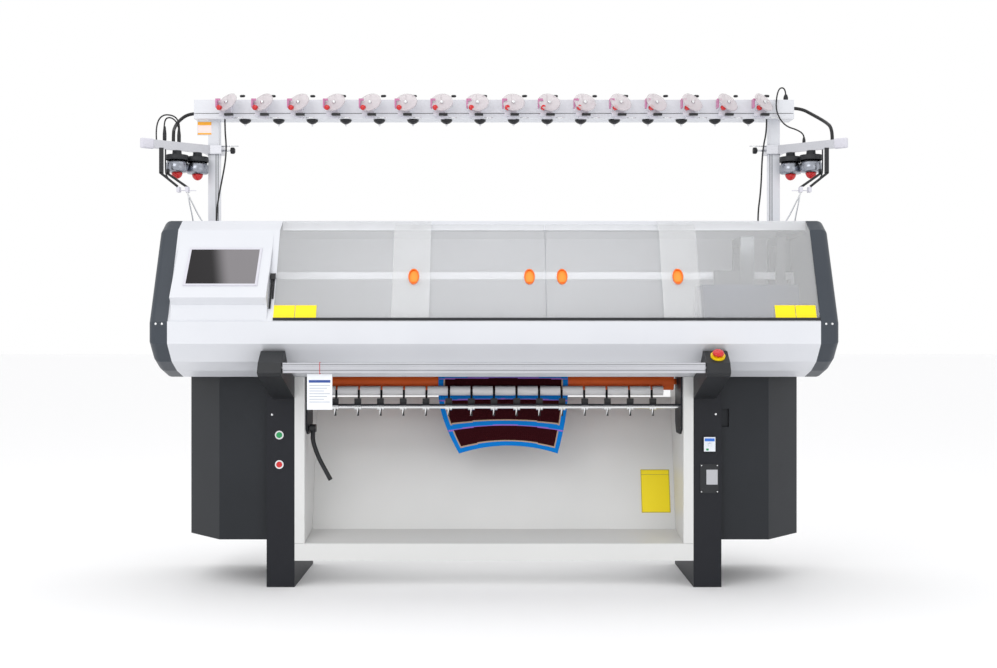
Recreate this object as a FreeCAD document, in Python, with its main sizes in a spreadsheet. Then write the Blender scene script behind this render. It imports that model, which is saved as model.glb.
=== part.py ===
"""Flat knitting machine: a computer-controlled two-bed machine on a pair of cabinets, with
sliding doors, a yarn stand and a take-down. Millimetres, +X along the needle beds, +Z up,
the front of the machine at -Y, and the origin on the floor in the middle of its footprint."""
import FreeCAD, Part
import math
import os
import re
import Sketcher

Vector = FreeCAD.Vector
doc = FreeCAD.newDocument("flat_knitting_machine")
sheet = doc.addObject("Spreadsheet::Sheet", "Sizes")

SIZES = {
    # legs and cabinets
    "leg_inner": 806, "leg_outer": 919, "leg_front": -105, "leg_back": 435, "leg_top": 850,
    "leg_wall": 8, "cabinet_bottom": 188, "cabinet_front": -75, "cabinet_corner": 1116,
    "cabinet_side": 1272, "cabinet_flank": 105, "cabinet_wall": 3, "niche_left": 925,
    "niche_right": 955, "niche_low": 645, "niche_high": 719, "niche_depth": 12,
    # catch tray and liners between the legs
    "tray_low": 107, "tray_lip": 176, "tray_beam": 60, "tray_plate": 10, "apron_foot_y": 130,
    "apron_foot_z": 200, "apron_head_y": 289, "apron_head_z": 750, "apron_sheet": 4,
    "liner_inner": 766, "liner_sheet": 3,
    # bed beam and needle beds
    "beam_front": -95, "beam_back": 340, "beam_rise": 55, "slot_front": -20, "slot_back": 100,
    "slot_half": 752, "gap_y": 35, "gap_half": 4, "apex_z": 1035, "bed_depth": 91,
    "bed_half": 700, "guide_rail_width": 25, "guide_rail_rise": 30,
    # head casing, drawn as a side profile
    "head_inner": 1256, "cap_width": 74, "cap_round": 30, "cap_wall": 14, "cap_inset": 36,
    "nose_y": -365, "nose_low": 985, "nose_high": 1070, "lip_y": -357, "lip_z": 1075,
    "shoulder_y": -185, "shoulder_z": 1438, "crown_y": -115, "crown_z": 1479, "rear_y": 450,
    "rear_bevel": 30, "belly_one_y": -292, "belly_one_z": 915, "belly_two_y": -210,
    "belly_two_z": 878, "belly_three_y": -100, "skin": 3, "sill_back": -300,
    # control console at the left end of the head
    "console_edge": 851, "console_right": 875, "console_left": 1245, "ledge_y": -350,
    "ledge_z": 1135, "chin_y": -377, "chin_z": 1163, "screen_low_y": -345,
    "screen_low": 1208, "screen_high_y": -226, "screen_high": 1361, "bezel_left": 1200,
    "bezel_right": 914, "bezel_proud": 4, "bezel_frame": 9, "stylus_x": 863,
    # doors and their tracks
    "door_width": 600, "door_sheet": 5, "door_pitch": 12, "door_gap": 0.3, "crown_gap": 0.8,
    "track_base": 3, "track_lip": 8, "track_wall": 3.5, "track_run": 0.4, "track_top": 34,
    "outer_left_x": -851, "inner_left_x": -398, "inner_right_x": 204, "outer_right_x": 656,
    "pull_rise": 33.5, "pull_half": 21, "pull_depth": 10, "pull_proud": 1, "pull_wall": 4,
    "pull_z": 1249, "pull_inset": 63,
    "pull_fit": 0.4,
    # carriage, its rails and its belt
    "carriage_left": 850, "carriage_length": 390, "cam_gap": 40, "cam_top": 1225,
    "cam_lift": 8, "cam_front": -110, "bow_low_y": -60, "bow_post": 30, "bow_top": 1420,
    "bow_bar": 30, "drive_block_left": 904, "drive_block_right": 1004, "drive_block_rise": 57,
    "belt_y": 230, "belt_z": 990, "belt_width": 25, "belt_sheet": 3, "pulley_radius": 40,
    "pulley_x": 1150, "pulley_shaft": 10, "shaft_play": 0.05, "motor_half": 45,
    "motor_top": 984, "belt_play": 0.3, "clamp_left": 1000, "clamp_right": 1050,
    # yarn rails and yarn carriers
    "yarn_rail_half": 1240, "yarn_rail_low": 1249, "yarn_rail_high": 1278, "rail_width": 12,
    "rail_spread": 14, "rail_post": 15, "carrier_one_x": 925, "carrier_two_x": 955,
    "carrier_width": 24, "carrier_play": 0.3, "carrier_hook": 8, "carrier_tip": 1046,
    # take-down rollers
    "roller_y": 55, "roller_z": 825, "roller_radius": 35, "roller_half": 745, "spindle": 12,
    "plate_inner": 758, "plate_sheet": 8, "rod_y": -35, "rod_z": 724.5, "rod_radius": 7.8,
    "axle_y": 7, "axle_z": 789, "axle_radius": 4, "press_radius": 19.5, "press_half": 697,
    "arm_pitch": 92.7, "arm_sheet": 8, "weight_proud": 6, "weight_low": 9.8,
    "weight_rise": 26, "hook_inset": 4, "hook_drop": 36, "collar_radius": 14, "collar_width": 27,
    "tie_y": -72, "tie_z": 735, "tie_radius": 4, "lever_z": 638, "lever_radius": 9,
    # start bar, its brackets and the controls
    "bar_half": 801.7, "bar_front": -430, "bar_back": -405, "bar_low": 875, "bar_high": 914,
    "bar_pin": 5, "bracket_outer": 896, "bracket_nose": -450, "bracket_chin": 870,
    "bracket_root": 762, "bracket_top": 958, "bracket_crest": -365, "bracket_slack": 2,
    "stop_x": 854, "stop_y": -397.5, "stop_tilt": 34, "stop_ring": 28, "stop_cap": 22,
    "stop_seat": 0.3, "ring_thick": 7, "stop_stem": 3, "stop_lift": 12, "stop_well": 9,
    "button_x": 867, "start_z": 615, "halt_z": 496, "bezel_radius": 17.5, "bezel_rise": 5,
    "button_radius": 12, "button_play": 0.3, "button_depth": 6, "bezel_sleeve": 14,
    "breaker_x": 870, "breaker_z": 578, "breaker_width": 50, "breaker_tall": 62,
    "breaker_deep": 8, "toggle_radius": 7, "toggle_width": 12, "plate_left": 833,
    "plate_right": 907, "plate_low": 381, "plate_high": 497, "plate_thick": 2,
    # yarn stand
    "post_x": 1193, "post_y": 195, "post_width": 46, "stand_low": 1933, "stand_high": 2013,
    "stand_half": 1268, "stand_front": 135, "stand_back": 235, "stand_groove": 6,
    "groove_low": 1954, "groove_high": 1956, "controllers": 16, "controller_pitch": 149.5,
    "disc_radius": 49, "disc_thick": 8, "disc_y": 65, "disc_z": 1949, "hub_radius": 15,
    "hub_rise": 14, "first_yaw": -33, "last_yaw": 40, "block_width": 34, "block_tall": 52,
    "funnel_pitch": 142.5, "funnel_y": 165, "funnel_radius": 14, "funnel_tip": 5,
    "funnel_drop": 33, "lead_radius": 1.5, "lead_y": 185,
    # side arms and their yarn feeders
    "arm_root_x": 1195, "arm_root_y": 175, "arm_yaw": 40.6, "arm_length": 322,
    "arm_low": 1788, "arm_rise": 36, "arm_bar": 12, "clamp_half": 36, "feeder_first": 74,
    "feeder_pitch": 94, "ring_radius": 45, "ring_low": 1748, "ring_rise": 21,
    "drum_radius": 34, "drum_low": 1710, "drum_lip": 38, "lip_low": 1696, "cup_radius": 21,
    "cup_low": 1666, "feeder_shaft": 5, "feeder_gap": 0.3,
    # fabric and card
    "fabric_left": -230, "fabric_right": 306, "fabric_foot": 527, "fabric_arch": 33,
    "fabric_sheet": 3, "card_left": -711, "card_right": -615, "card_low": 735,
    "card_high": 871, "card_y": -417, "card_sheet": 1.5, "string_x": -661,
}

for row, (word, number) in enumerate(SIZES.items(), start=1):
    sheet.set(f"A{row}", word)
    sheet.set(f"B{row}", str(number))
    sheet.setAlias(f"B{row}", word)
doc.recompute()

NODES = []


def bound(text):
    """A formula of size names, with every name pointing at its cell."""
    return re.sub(r"[a-z_]+", lambda word: prefixed(word.group()), str(text))


def prefixed(word):
    return f"Sizes.{word}" if word in SIZES else word


def size(text):
    """The number that a formula of size names gives."""
    found = sheet.evalExpression(bound(text))
    return float(getattr(found, "Value", found))


def side_span(side, near, far):
    """Low and high ends, along X, of what lies from near to far out on one side."""
    return (near, far) if side > 0 else (f"-({far})", f"-({near})")


def centred(middle, width):
    """Low and high ends of a width about a middle."""
    return (f"({middle}) - ({width}) / 2", f"({middle}) + ({width}) / 2")


def place(thing, x=0, y=0, z=0):
    for letter, formula in zip("xyz", (x, y, z)):
        thing.setExpression(f"Placement.Base.{letter}", bound(formula))
    return thing


def block(name, x, y, z):
    """Box between pairs of low and high formulas."""
    box = doc.addObject("Part::Box", name)
    for size_name, (low, high) in zip(("Length", "Width", "Height"), (x, y, z)):
        box.setExpression(size_name, bound(f"({high}) - ({low})"))
    return place(box, x[0], y[0], z[0])


TURNS = {
    "x": FreeCAD.Rotation(Vector(0, 1, 0), 90),
    "y": FreeCAD.Rotation(Vector(1, 0, 0), -90),
    "z": FreeCAD.Rotation(),
}


def rod(name, axis, start, length, radius):
    """Cylinder along an axis from the middle of its first end."""
    cylinder = doc.addObject("Part::Cylinder", name)
    cylinder.Placement = FreeCAD.Placement(Vector(), TURNS[axis])
    cylinder.setExpression("Radius", bound(radius))
    cylinder.setExpression("Height", bound(length))
    return place(cylinder, *start)


def cone(name, start, length, low_radius, high_radius):
    """Upright cone from the middle of its lower end."""
    taper = doc.addObject("Part::Cone", name)
    taper.setExpression("Radius1", bound(low_radius))
    taper.setExpression("Radius2", bound(high_radius))
    taper.setExpression("Height", bound(length))
    return place(taper, *start)


def fuse(name, *members):
    union = doc.addObject("Part::MultiFuse", name)
    union.Shapes = list(members)
    return union


def cut(name, base, *tools):
    difference = doc.addObject("Part::Cut", name)
    difference.Base = base
    difference.Tool = tools[0] if len(tools) == 1 else fuse(name + "_tools", *tools)
    return difference


def group(name, *members):
    """Separate solids that share one node."""
    compound = doc.addObject("Part::Compound", name)
    compound.Links = list(members)
    return compound


def node(label, thing):
    """Registers an object as the sub-part of that name."""
    thing.Label = label
    NODES.append(thing)
    return thing


PLANES = {"x": "YZ_Plane", "y": "XZ_Plane", "z": "XY_Plane"}


def prism(name, axis, outline, low, high):
    """Body padded along an axis from a closed outline of formula pairs, which are (y, z) along
    X, (x, z) along Y and (x, y) along Z."""
    body = doc.addObject("PartDesign::Body", name)
    plane = next(item for item in body.Origin.OriginFeatures if item.Role == PLANES[axis])
    sketch = body.newObject("Sketcher::SketchObject", name + "_outline")
    sketch.AttachmentSupport = [(plane, "")]
    sketch.MapMode = "FlatFace"
    corners = [Vector(size(across), size(up), 0) for across, up in outline]
    edges = zip(corners, corners[1:] + corners[:1])
    sketch.addGeometry([Part.LineSegment(start, end) for start, end in edges], False)
    count = len(corners)
    for edge in range(count):
        sketch.addConstraint(Sketcher.Constraint("Coincident", edge, 2, (edge + 1) % count, 1))
    for edge, (corner, pair) in enumerate(zip(corners, outline)):
        for kind, distance, formula in zip(("DistanceX", "DistanceY"), corner, pair):
            rule = Sketcher.Constraint(kind, -1, 1, edge, 1, distance)
            index = sketch.addConstraint(rule)
            sketch.setExpression(f"Constraints[{index}]", bound(formula))
    pad = body.newObject("PartDesign::Pad", name + "_pad")
    pad.Profile = sketch
    pad.setExpression("Length", bound(f"({high}) - ({low})"))
    pad.Reversed = axis == "y"
    body.Tip = pad
    body.setExpression(f"Placement.Base.{axis}", bound(low))
    return body


def folded(outline, shifts):
    """Closed section of a bent sheet: its outer line, and back along that line moved inwards by
    so many skins along each axis."""
    inner = []
    for (across, up), (side, rise) in zip(outline, shifts):
        inner.append((f"{across} + skin * {side}", f"{up} + skin * ({rise})"))
    return outline + inner[::-1]


def round_path(points):
    """Wire of straight runs joined by tangent arcs, each as large as its two runs allow."""
    points = [Vector(*point) for point in points]
    edges = []
    radii = []
    start = points[0]
    for before, corner, after in zip(points, points[1:], points[2:]):
        come = (corner - before).normalize()
        leave = (after - corner).normalize()
        turn = come.getAngle(leave)
        reach = 0.45 * min((corner - before).Length, (after - corner).Length)
        radii.append(reach / math.tan(turn / 2))
        first = corner - come * reach
        last = corner + leave * reach
        middle = (first + last) * 0.5
        towards = (middle - corner).normalize()
        centre = corner + towards * (radii[-1] / math.cos(turn / 2))
        crest = centre - towards * radii[-1]
        edges.append(Part.LineSegment(start, first).toShape())
        edges.append(Part.Arc(first, crest, last).toShape())
        start = last
    edges.append(Part.LineSegment(start, points[-1]).toShape())
    return Part.Wire(edges), radii


def tube(name, points, radius):
    """Round bar or cord along a path, with its length and bend radii printed."""
    path, radii = round_path(points)
    heading = Vector(*points[1]) - Vector(*points[0])
    ring = Part.Wire([Part.makeCircle(radius, Vector(*points[0]), heading)])
    feature = doc.addObject("Part::Feature", name)
    feature.Shape = path.makePipeShell([ring], True, False)
    ideal = math.pi * radius ** 2 * path.Length
    bends = " ".join(f"{bend:.0f}" for bend in radii)
    print(f"{name}: length {path.Length:.0f}, bends {bends}, volume {feature.Shape.Volume / ideal:.3f}")
    return feature


SIDES = {"left": -1, "right": 1}

# Legs: two deep closed columns that stand on the floor and carry the bed beam
for word, side in SIDES.items():
    column = block(f"{word}_column", side_span(side, "leg_inner", "leg_outer"),
                   ("leg_front", "leg_back"), (0, "leg_top"))
    hollow = block(f"{word}_column_hollow",
                   side_span(side, "leg_inner + leg_wall", "leg_outer - leg_wall"),
                   ("leg_front + leg_wall", "leg_back - leg_wall"),
                   ("leg_wall", "leg_top - leg_wall"))
    if side < 0:
        holes = [rod(f"{use}_hole", "y", ("-button_x", "leg_front - 1", height), "leg_wall + 2",
                     "button_radius + button_play + 2") for use, height in
                 (("start", "start_z"), ("halt", "halt_z"))]
    else:
        holes = [block("breaker_hole", centred("breaker_x", "breaker_width - 10"),
                       ("leg_front - 1", "leg_front + leg_wall + 1"),
                       centred("breaker_z", "breaker_tall - 12"))]
    node(f"{word}_leg", cut(f"{word}_leg_shell", column, hollow, *holes))

# Cabinets: one each side, with the outer front corner cut off on the slant
def cabinet_plan(side, inset):
    """Plan of a cabinet, drawn in by an inset."""
    plan = [("leg_outer", "cabinet_front", 1, 1), ("cabinet_corner", "cabinet_front", -0.5, 1),
            ("cabinet_side", "cabinet_flank", -1, 0.5), ("cabinet_side", "leg_back", -1, -1),
            ("leg_outer", "leg_back", 1, -1)]
    return [(f"{side} * ({x} + {across} * {inset})", f"{y} + {along} * {inset}")
            for x, y, across, along in plan]


cases = []
for word, side in SIDES.items():
    case = prism(f"{word}_case", "z", cabinet_plan(side, "0"), "cabinet_bottom", "leg_top")
    room = prism(f"{word}_case_room", "z", cabinet_plan(side, "cabinet_wall"),
                 "cabinet_bottom + cabinet_wall", "leg_top - cabinet_wall")
    if side > 0:
        niche = block("niche", ("niche_left", "niche_right"),
                      ("cabinet_front - 1", "cabinet_front + niche_depth"),
                      ("niche_low", "niche_high"))
        lining = block("niche_lining", ("niche_left - cabinet_wall", "niche_right + cabinet_wall"),
                       ("cabinet_front", "cabinet_front + niche_depth + cabinet_wall"),
                       ("niche_low - cabinet_wall", "niche_high + cabinet_wall"))
        cases.append(cut("right_cabinet", fuse("right_case_lined", cut("case_walls", case, room),
                                               lining), niche))
    else:
        cases.append(cut("left_cabinet", case, room))
node("cabinets", group("cabinet_pair", *cases))

# Catch tray: one folded sheet, from the front beam up the sloping shelf and the apron
tray = [("leg_front", "tray_low"), ("leg_front", "tray_lip"), ("apron_foot_y", "apron_foot_z"),
        ("apron_head_y", "apron_head_z"), ("apron_head_y + apron_sheet", "apron_head_z"),
        ("apron_foot_y + apron_sheet", "apron_foot_z - tray_plate"),
        ("leg_front + tray_beam", "tray_lip - tray_plate"), ("leg_front + tray_beam", "tray_low")]
node("catch_tray", prism("tray", "x", tray, "-leg_inner", "leg_inner"))

# Liners: a white strip beside each leg and the wall that goes back from it to the apron
SLOPE = "(apron_head_y - apron_foot_y) / (apron_head_z - apron_foot_z)"
liners = []
for word, side in SIDES.items():
    wall = prism(f"{word}_liner_wall", "x",
                 [("leg_front", "tray_lip + 1"), ("apron_foot_y - 1", "apron_foot_z + 1"),
                  (f"apron_foot_y - 1 + (leg_top - apron_foot_z) * {SLOPE}", "leg_top"),
                  ("leg_front", "leg_top")],
                 *side_span(side, "liner_inner", "liner_inner + liner_sheet"))
    strip = block(f"{word}_liner_strip", side_span(side, "liner_inner", "leg_inner"),
                  ("leg_front", "leg_front + liner_sheet"), ("tray_lip + 1", "leg_top"))
    liners.append(fuse(f"{word}_liner", wall, strip))
node("side_liners", group("liner_pair", *liners))

# Bed beam: the long casting across the legs, slotted for the fabric and the roller
beam = block("beam_blank", ("-head_inner", "head_inner"), ("beam_front", "beam_back"),
             ("leg_top", "leg_top + beam_rise"))
slot = block("beam_slot", ("-slot_half", "slot_half"), ("slot_front", "slot_back"),
             ("leg_top - 1", "leg_top + beam_rise + 1"))
node("bed_beam", cut("beam_casting", beam, slot))

BEAM_TOP = "leg_top + beam_rise"


# Needle beds: two wedges that face each other across the knitting gap; the rear one racks
def bed_section(side):
    """Section of a bed, to the front for side -1 and to the back for side 1."""
    face = f"gap_y + {side} * gap_half"
    foot = f"gap_y + {side} * (gap_half + bed_depth)"
    return [(face, "apex_z"), (foot, "apex_z - bed_depth"), (foot, BEAM_TOP), (face, BEAM_TOP)]


node("front_needle_bed", prism("front_bed", "x", bed_section(-1), "-bed_half", "bed_half"))
node("rear_needle_bed", prism("rear_bed", "x", bed_section(1), "-bed_half", "bed_half"))

rails = [block("front_guide", ("-yarn_rail_half", "yarn_rail_half"),
               ("beam_front", "beam_front + guide_rail_width"),
               (BEAM_TOP, f"{BEAM_TOP} + guide_rail_rise")),
         block("rear_guide", ("-yarn_rail_half", "yarn_rail_half"),
               ("2 * gap_y - beam_front - guide_rail_width", "2 * gap_y - beam_front"),
               (BEAM_TOP, f"{BEAM_TOP} + guide_rail_rise"))]
node("carriage_rails", group("guide_rails", *rails))

# End caps of the head: deep caps with a rounded outer edge, hollow behind their inner face
cap_outline = [("nose_y", "nose_low"), ("nose_y", "nose_high"), ("shoulder_y", "shoulder_z"),
               ("crown_y", "crown_z"), ("rear_y - rear_bevel", "crown_z"),
               ("rear_y", "crown_z - rear_bevel"), ("rear_y", "leg_top"),
               ("belly_three_y", "leg_top"), ("belly_two_y", "belly_two_z"),
               ("belly_one_y", "belly_one_z")]
cap_room = [("nose_y + cap_inset", "nose_low + cap_wall"),
            ("nose_y + cap_inset", "nose_high + cap_wall"),
            ("shoulder_y + cap_inset", "shoulder_z - cap_wall"),
            ("crown_y + cap_inset", "crown_z - cap_inset"),
            ("rear_y - cap_inset", "crown_z - cap_inset"),
            ("rear_y - cap_inset", "leg_top + cap_inset"),
            ("belly_three_y", "leg_top + cap_inset")]
caps = []
for word, side in SIDES.items():
    cap = prism(f"{word}_cap", "x", cap_outline,
                *side_span(side, "head_inner", "head_inner + cap_width"))
    doc.recompute()
    pad = cap.Tip
    rim_x = size("cap_width") if side > 0 else 0
    rim = [f"Edge{number}" for number, edge in enumerate(pad.Shape.Edges, start=1)
           if all(abs(vertex.X - rim_x) < 0.01 for vertex in edge.Vertexes)]
    rounding = cap.newObject("PartDesign::Fillet", f"{word}_cap_round")
    rounding.Base = (pad, rim)
    rounding.setExpression("Radius", bound("cap_round"))
    cap.Tip = rounding
    hollow = prism(f"{word}_cap_hollow", "x", cap_room,
                   *side_span(side, "head_inner - 1", "head_inner + cap_width - cap_wall"))
    caps.append(cut(f"{word}_end_cap", cap, hollow))
node("end_caps", group("end_cap_pair", *caps))

# Front cover: a bent sheet from the door sill over the nose and down the faceted belly
front = [("sill_back", "lip_z"), ("lip_y", "lip_z"), ("nose_y", "nose_high"),
         ("nose_y", "nose_low"), ("belly_one_y", "belly_one_z"), ("belly_two_y", "belly_two_z"),
         ("belly_three_y", "leg_top")]
front_fold = [(0, "-1"), (0.5, "-1"), (1, "-0.5"), (1, "0.5"), (0.5, "1"), (0.3, "1"), (0, "1")]
node("front_cover", prism("front_sheet", "x", folded(front, front_fold), "-head_inner",
                          "head_inner"))

# Rear cover: the flat top of the head and the back panel, bent from one sheet
rear = [("crown_y", "crown_z"), ("rear_y - rear_bevel", "crown_z"),
        ("rear_y", "crown_z - rear_bevel"), ("rear_y", "leg_top")]
rear_fold = [(0, "-1"), (-0.5, "-1"), (-1, "-0.5"), (-1, "0")]
node("rear_cover", prism("rear_sheet", "x", folded(rear, rear_fold), "-head_inner",
                         "head_inner"))

# Control console: the blind left end of the head front, bulged out below the screen
bulge = [("lip_y", "lip_z"), ("ledge_y", "ledge_z"), ("chin_y", "chin_z"),
         ("screen_low_y", "screen_low"), ("screen_high_y", "screen_high"),
         ("shoulder_y", "shoulder_z"), ("crown_y", "crown_z")]
bulge_fold = [(1, "0"), (1, "0"), (1.3, "0"), (1.3, "0"), (1.3, "0"), (0.8, "-0.7"), (0, "-1.2")]
margin = [bulge[0], bulge[5], bulge[6]]
margin_fold = [(1.1, "0"), (0.8, "-0.7"), (0, "-1.2")]
cheek = bulge[:5]
console = [
    prism("console_face", "x", folded(bulge, bulge_fold), "-console_left", "-console_right"),
    prism("console_outer", "x", folded(margin, margin_fold), "-head_inner", "-console_left"),
    prism("console_inner", "x", folded(margin, margin_fold), "-console_right", "-console_edge"),
    prism("outer_cheek", "x", cheek, "-console_left", "-console_left + skin"),
    prism("inner_cheek", "x", cheek, "-console_right - skin", "-console_right"),
]
node("control_cover", fuse("console_shell", *console))

# Touch screen: a framed glass that lies on the console's sloping face
SCREEN_LEAN = "atan((screen_high_y - screen_low_y) / (screen_high - screen_low))"


def on_screen(along, proud):
    """Point of the screen's section, some way up the face and proud of it."""
    return (f"screen_low_y + ({along}) * sin({SCREEN_LEAN}) - ({proud}) * cos({SCREEN_LEAN})",
            f"screen_low + ({along}) * cos({SCREEN_LEAN}) + ({proud}) * sin({SCREEN_LEAN})")


FACE = "sqrt((screen_high_y - screen_low_y) ^ 2 + (screen_high - screen_low) ^ 2)"


def screen_slab(name, edge, low, high):
    section = [on_screen(edge, low), on_screen(edge, high), on_screen(f"{FACE} - {edge}", high),
               on_screen(f"{FACE} - {edge}", low)]
    return prism(name, "x", section, f"-bezel_left + {edge}", f"-bezel_right - {edge}")


frame_slab = screen_slab("screen_frame", "0", "0", "bezel_proud")
recess = screen_slab("screen_recess", "bezel_frame", "bezel_proud / 2", "bezel_proud + 1")
node("screen_bezel", cut("bezel", frame_slab, recess))
node("screen_glass", screen_slab("glass", "bezel_frame", "bezel_proud / 2",
                                 "bezel_proud * 0.8"))

# Doors: four acrylic sheets bent over at the top, two on each track, with a cup pull in each
LEAN = "atan((shoulder_y - lip_y) / (shoulder_z - lip_z))"
CREST = "atan((crown_z - shoulder_z) / (crown_y - shoulder_y))"


def on_door(depth, height):
    """Y of the door plane at a height, some depth behind the head's front face."""
    return f"lip_y + ({height} - lip_z) * tan({LEAN}) + ({depth}) / cos({LEAN})"


def door_line(depth):
    """Section line of a door face from its foot, round the shoulder, to the crown."""
    spread = f"(1 + sin({LEAN} + {CREST}))"
    foot = "(lip_z + track_base + door_gap)"
    return [(on_door(depth, foot), foot),
            (f"shoulder_y + ({depth}) * (cos({LEAN}) + sin({CREST})) / {spread}",
             f"shoulder_z - ({depth}) * (sin({LEAN}) + cos({CREST})) / {spread}"),
            ("crown_y - crown_gap",
             f"crown_z - crown_gap * tan({CREST}) - ({depth}) / cos({CREST})")]


def oval(name, x, depth, length, shrink):
    """Oval plug square to the door, its long axis up the door."""
    lean = math.radians(size(LEAN))
    up = Vector(0, math.sin(lean), math.cos(lean))
    inwards = Vector(0, math.cos(lean), -math.sin(lean))
    ring = doc.addObject("Part::Ellipse", name + "_ring")
    ring.setExpression("MajorRadius", bound(f"pull_rise - ({shrink})"))
    ring.setExpression("MinorRadius", bound(f"pull_half - ({shrink})"))
    ring.Placement = FreeCAD.Placement(Vector(), FreeCAD.Rotation(up, Vector(1, 0, 0), inwards))
    place(ring, x, on_door(depth, "pull_z"), "pull_z")
    plug = doc.addObject("Part::Extrusion", name)
    plug.Base = ring
    plug.DirMode = "Normal"
    plug.Solid = True
    plug.setExpression("LengthFwd", bound(length))
    return plug


def door(name, left, depth, pull_x):
    panel = prism(f"{name}_panel", "x", door_line(depth)
                  + door_line(f"{depth} + door_sheet")[::-1], left, f"{left} + door_width")
    window = oval(f"{name}_window", pull_x, f"{depth} - 2", "door_sheet + 4", "-pull_fit")
    plug = oval(f"{name}_plug", pull_x, f"{depth} - pull_proud", "pull_depth", "0")
    cup = oval(f"{name}_cup", pull_x, f"{depth} - pull_proud - 1",
               "pull_depth - pull_wall / 2", "pull_wall")
    node(name, group(f"{name}_set", cut(f"{name}_sheet", panel, window),
                     cut(f"{name}_pull", plug, cup)))


door("outer_left_door", "outer_left_x", "0", "outer_left_x + door_width - pull_inset")
door("inner_left_door", "inner_left_x", "door_pitch", "inner_left_x + door_width - pull_inset")
door("inner_right_door", "inner_right_x", "door_pitch", "inner_right_x + pull_inset")
door("outer_right_door", "outer_right_x", "0", "outer_right_x + pull_inset")

# Door tracks: a three-lipped channel on the sill and a guide under the rear cover's edge
LIP_FOOT = "lip_z + track_base"
LIP_HEAD = "lip_z + track_base + track_lip"
track_x = ("-console_edge", "head_inner")
front_face = on_door("0", LIP_FOOT)
middle_low = on_door("door_sheet", LIP_HEAD)
middle_high = on_door("door_pitch", LIP_FOOT)
back_face = on_door("door_pitch + door_sheet", LIP_HEAD)
channel = [
    block("track_floor", track_x, (f"{front_face} - track_run - track_wall",
                                   f"{back_face} + track_run + track_wall"),
          ("lip_z", LIP_FOOT)),
    block("track_front", track_x, (f"{front_face} - track_run - track_wall",
                                   f"{front_face} - track_run"), ("lip_z", LIP_HEAD)),
    block("track_middle", track_x, (f"{middle_low} + track_run",
                                    f"{middle_high} - track_run"), ("lip_z", LIP_HEAD)),
    block("track_back", track_x, (f"{back_face} + track_run",
                                  f"{back_face} + track_run + track_wall"),
          ("lip_z", LIP_HEAD)),
]
top_guide = block("top_guide", track_x, ("crown_y", "crown_y + track_wall * 3"),
                  ("crown_z - skin - track_top", "crown_z - skin"))
node("door_tracks", group("track_pair", fuse("sill_track", *channel), top_guide))

# Carriage: cam boxes over both beds, joined by two bows over the yarn rails
REAR = "(2 * gap_y)"
cam = [("beam_front - 2", f"{BEAM_TOP} + guide_rail_rise + shaft_play * 6"),
       ("beam_front + guide_rail_width + 2", f"{BEAM_TOP} + guide_rail_rise + shaft_play * 6"),
       ("gap_y - gap_half - bed_depth", "apex_z - bed_depth + cam_lift"),
       ("gap_y - cam_gap", "apex_z - cam_gap + gap_half + cam_lift"),
       ("gap_y - cam_gap", "cam_top"), ("bow_low_y", "cam_top"),
       ("cam_front", "cam_top - 145"), ("cam_front", "apex_z - bed_depth")]
cam_x = ("carriage_left", "carriage_left + carriage_length")
members = [prism("front_cams", "x", cam, *cam_x),
           prism("rear_cams", "x", [(f"{REAR} - ({y})", z) for y, z in cam], *cam_x)]
for name, left, right in (("first", 155, 210), ("second", 302, 338)):
    bow_x = (f"carriage_left + {left}", f"carriage_left + {right}")
    members += [
        block(f"{name}_bow_front", bow_x, ("bow_low_y", "bow_low_y + bow_post"),
              ("cam_top - 5", "bow_top")),
        block(f"{name}_bow_rear", bow_x, (f"{REAR} - bow_low_y - bow_post",
                                          f"{REAR} - bow_low_y"), ("cam_top - 5", "bow_top")),
        block(f"{name}_bow_bar", bow_x, ("bow_low_y", f"{REAR} - bow_low_y"),
              ("bow_top - bow_bar", "bow_top"))]
members.append(block("stitch_drives", ("drive_block_left", "drive_block_right"),
                     ("bow_low_y", "gap_y - cam_gap"),
                     ("cam_top - 5", "cam_top + drive_block_rise")))
BELT_FACE = "belt_y - pulley_radius - belt_play - belt_sheet"
members.append(block("belt_clamp", ("clamp_left", "clamp_right"),
                     (f"{REAR} - cam_front - 5", f"{BELT_FACE} - belt_play"),
                     ("belt_z", "belt_z + belt_width")))
node("carriage", fuse("carriage_frame", *members))


# Belt drive: a flat loop behind the rear bed, round a motor pulley and an idler
def loop(name, radius, low, high):
    return fuse(name, block(f"{name}_band", ("-pulley_x", "pulley_x"),
                            (f"belt_y - ({radius})", f"belt_y + {radius}"), (low, high)),
                *[rod(f"{name}_{word}_end", "z", (f"{side} * pulley_x", "belt_y", low),
                      f"({high}) - ({low})", radius) for word, side in SIDES.items()])


node("drive_belt", cut("belt_band", loop("belt_outer", "pulley_radius + belt_play + belt_sheet",
                                         "belt_z", "belt_z + belt_width"),
                       loop("belt_inner", "pulley_radius + belt_play", "belt_z - 1",
                            "belt_z + belt_width + 1")))
mounts = []
for word, side in SIDES.items():
    wheel_x = f"{side} * pulley_x"
    wheel = rod(f"{word}_wheel", "z", (wheel_x, "belt_y", "motor_top + belt_play"),
                "belt_z + belt_width + 2 - motor_top", "pulley_radius")
    stub = rod(f"{word}_stub", "z", (wheel_x, "belt_y", "motor_top - pulley_radius"),
               "pulley_radius + 1", "pulley_shaft")
    node("drive_pulley" if side > 0 else "idler_pulley", fuse(f"{word}_pulley", wheel, stub))
    stand = block(f"{word}_stand", centred(wheel_x, "motor_half * 2"),
                  centred("belt_y", "motor_half * 2"), (BEAM_TOP, "motor_top"))
    bore = rod(f"{word}_bore", "z", (wheel_x, "belt_y", "motor_top - pulley_radius - 1"),
               "pulley_radius + 2", "pulley_shaft + shaft_play")
    mounts.append(cut(f"{word}_mount", stand, bore))
node("belt_mounts", group("motor_and_bracket", *mounts))

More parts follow.
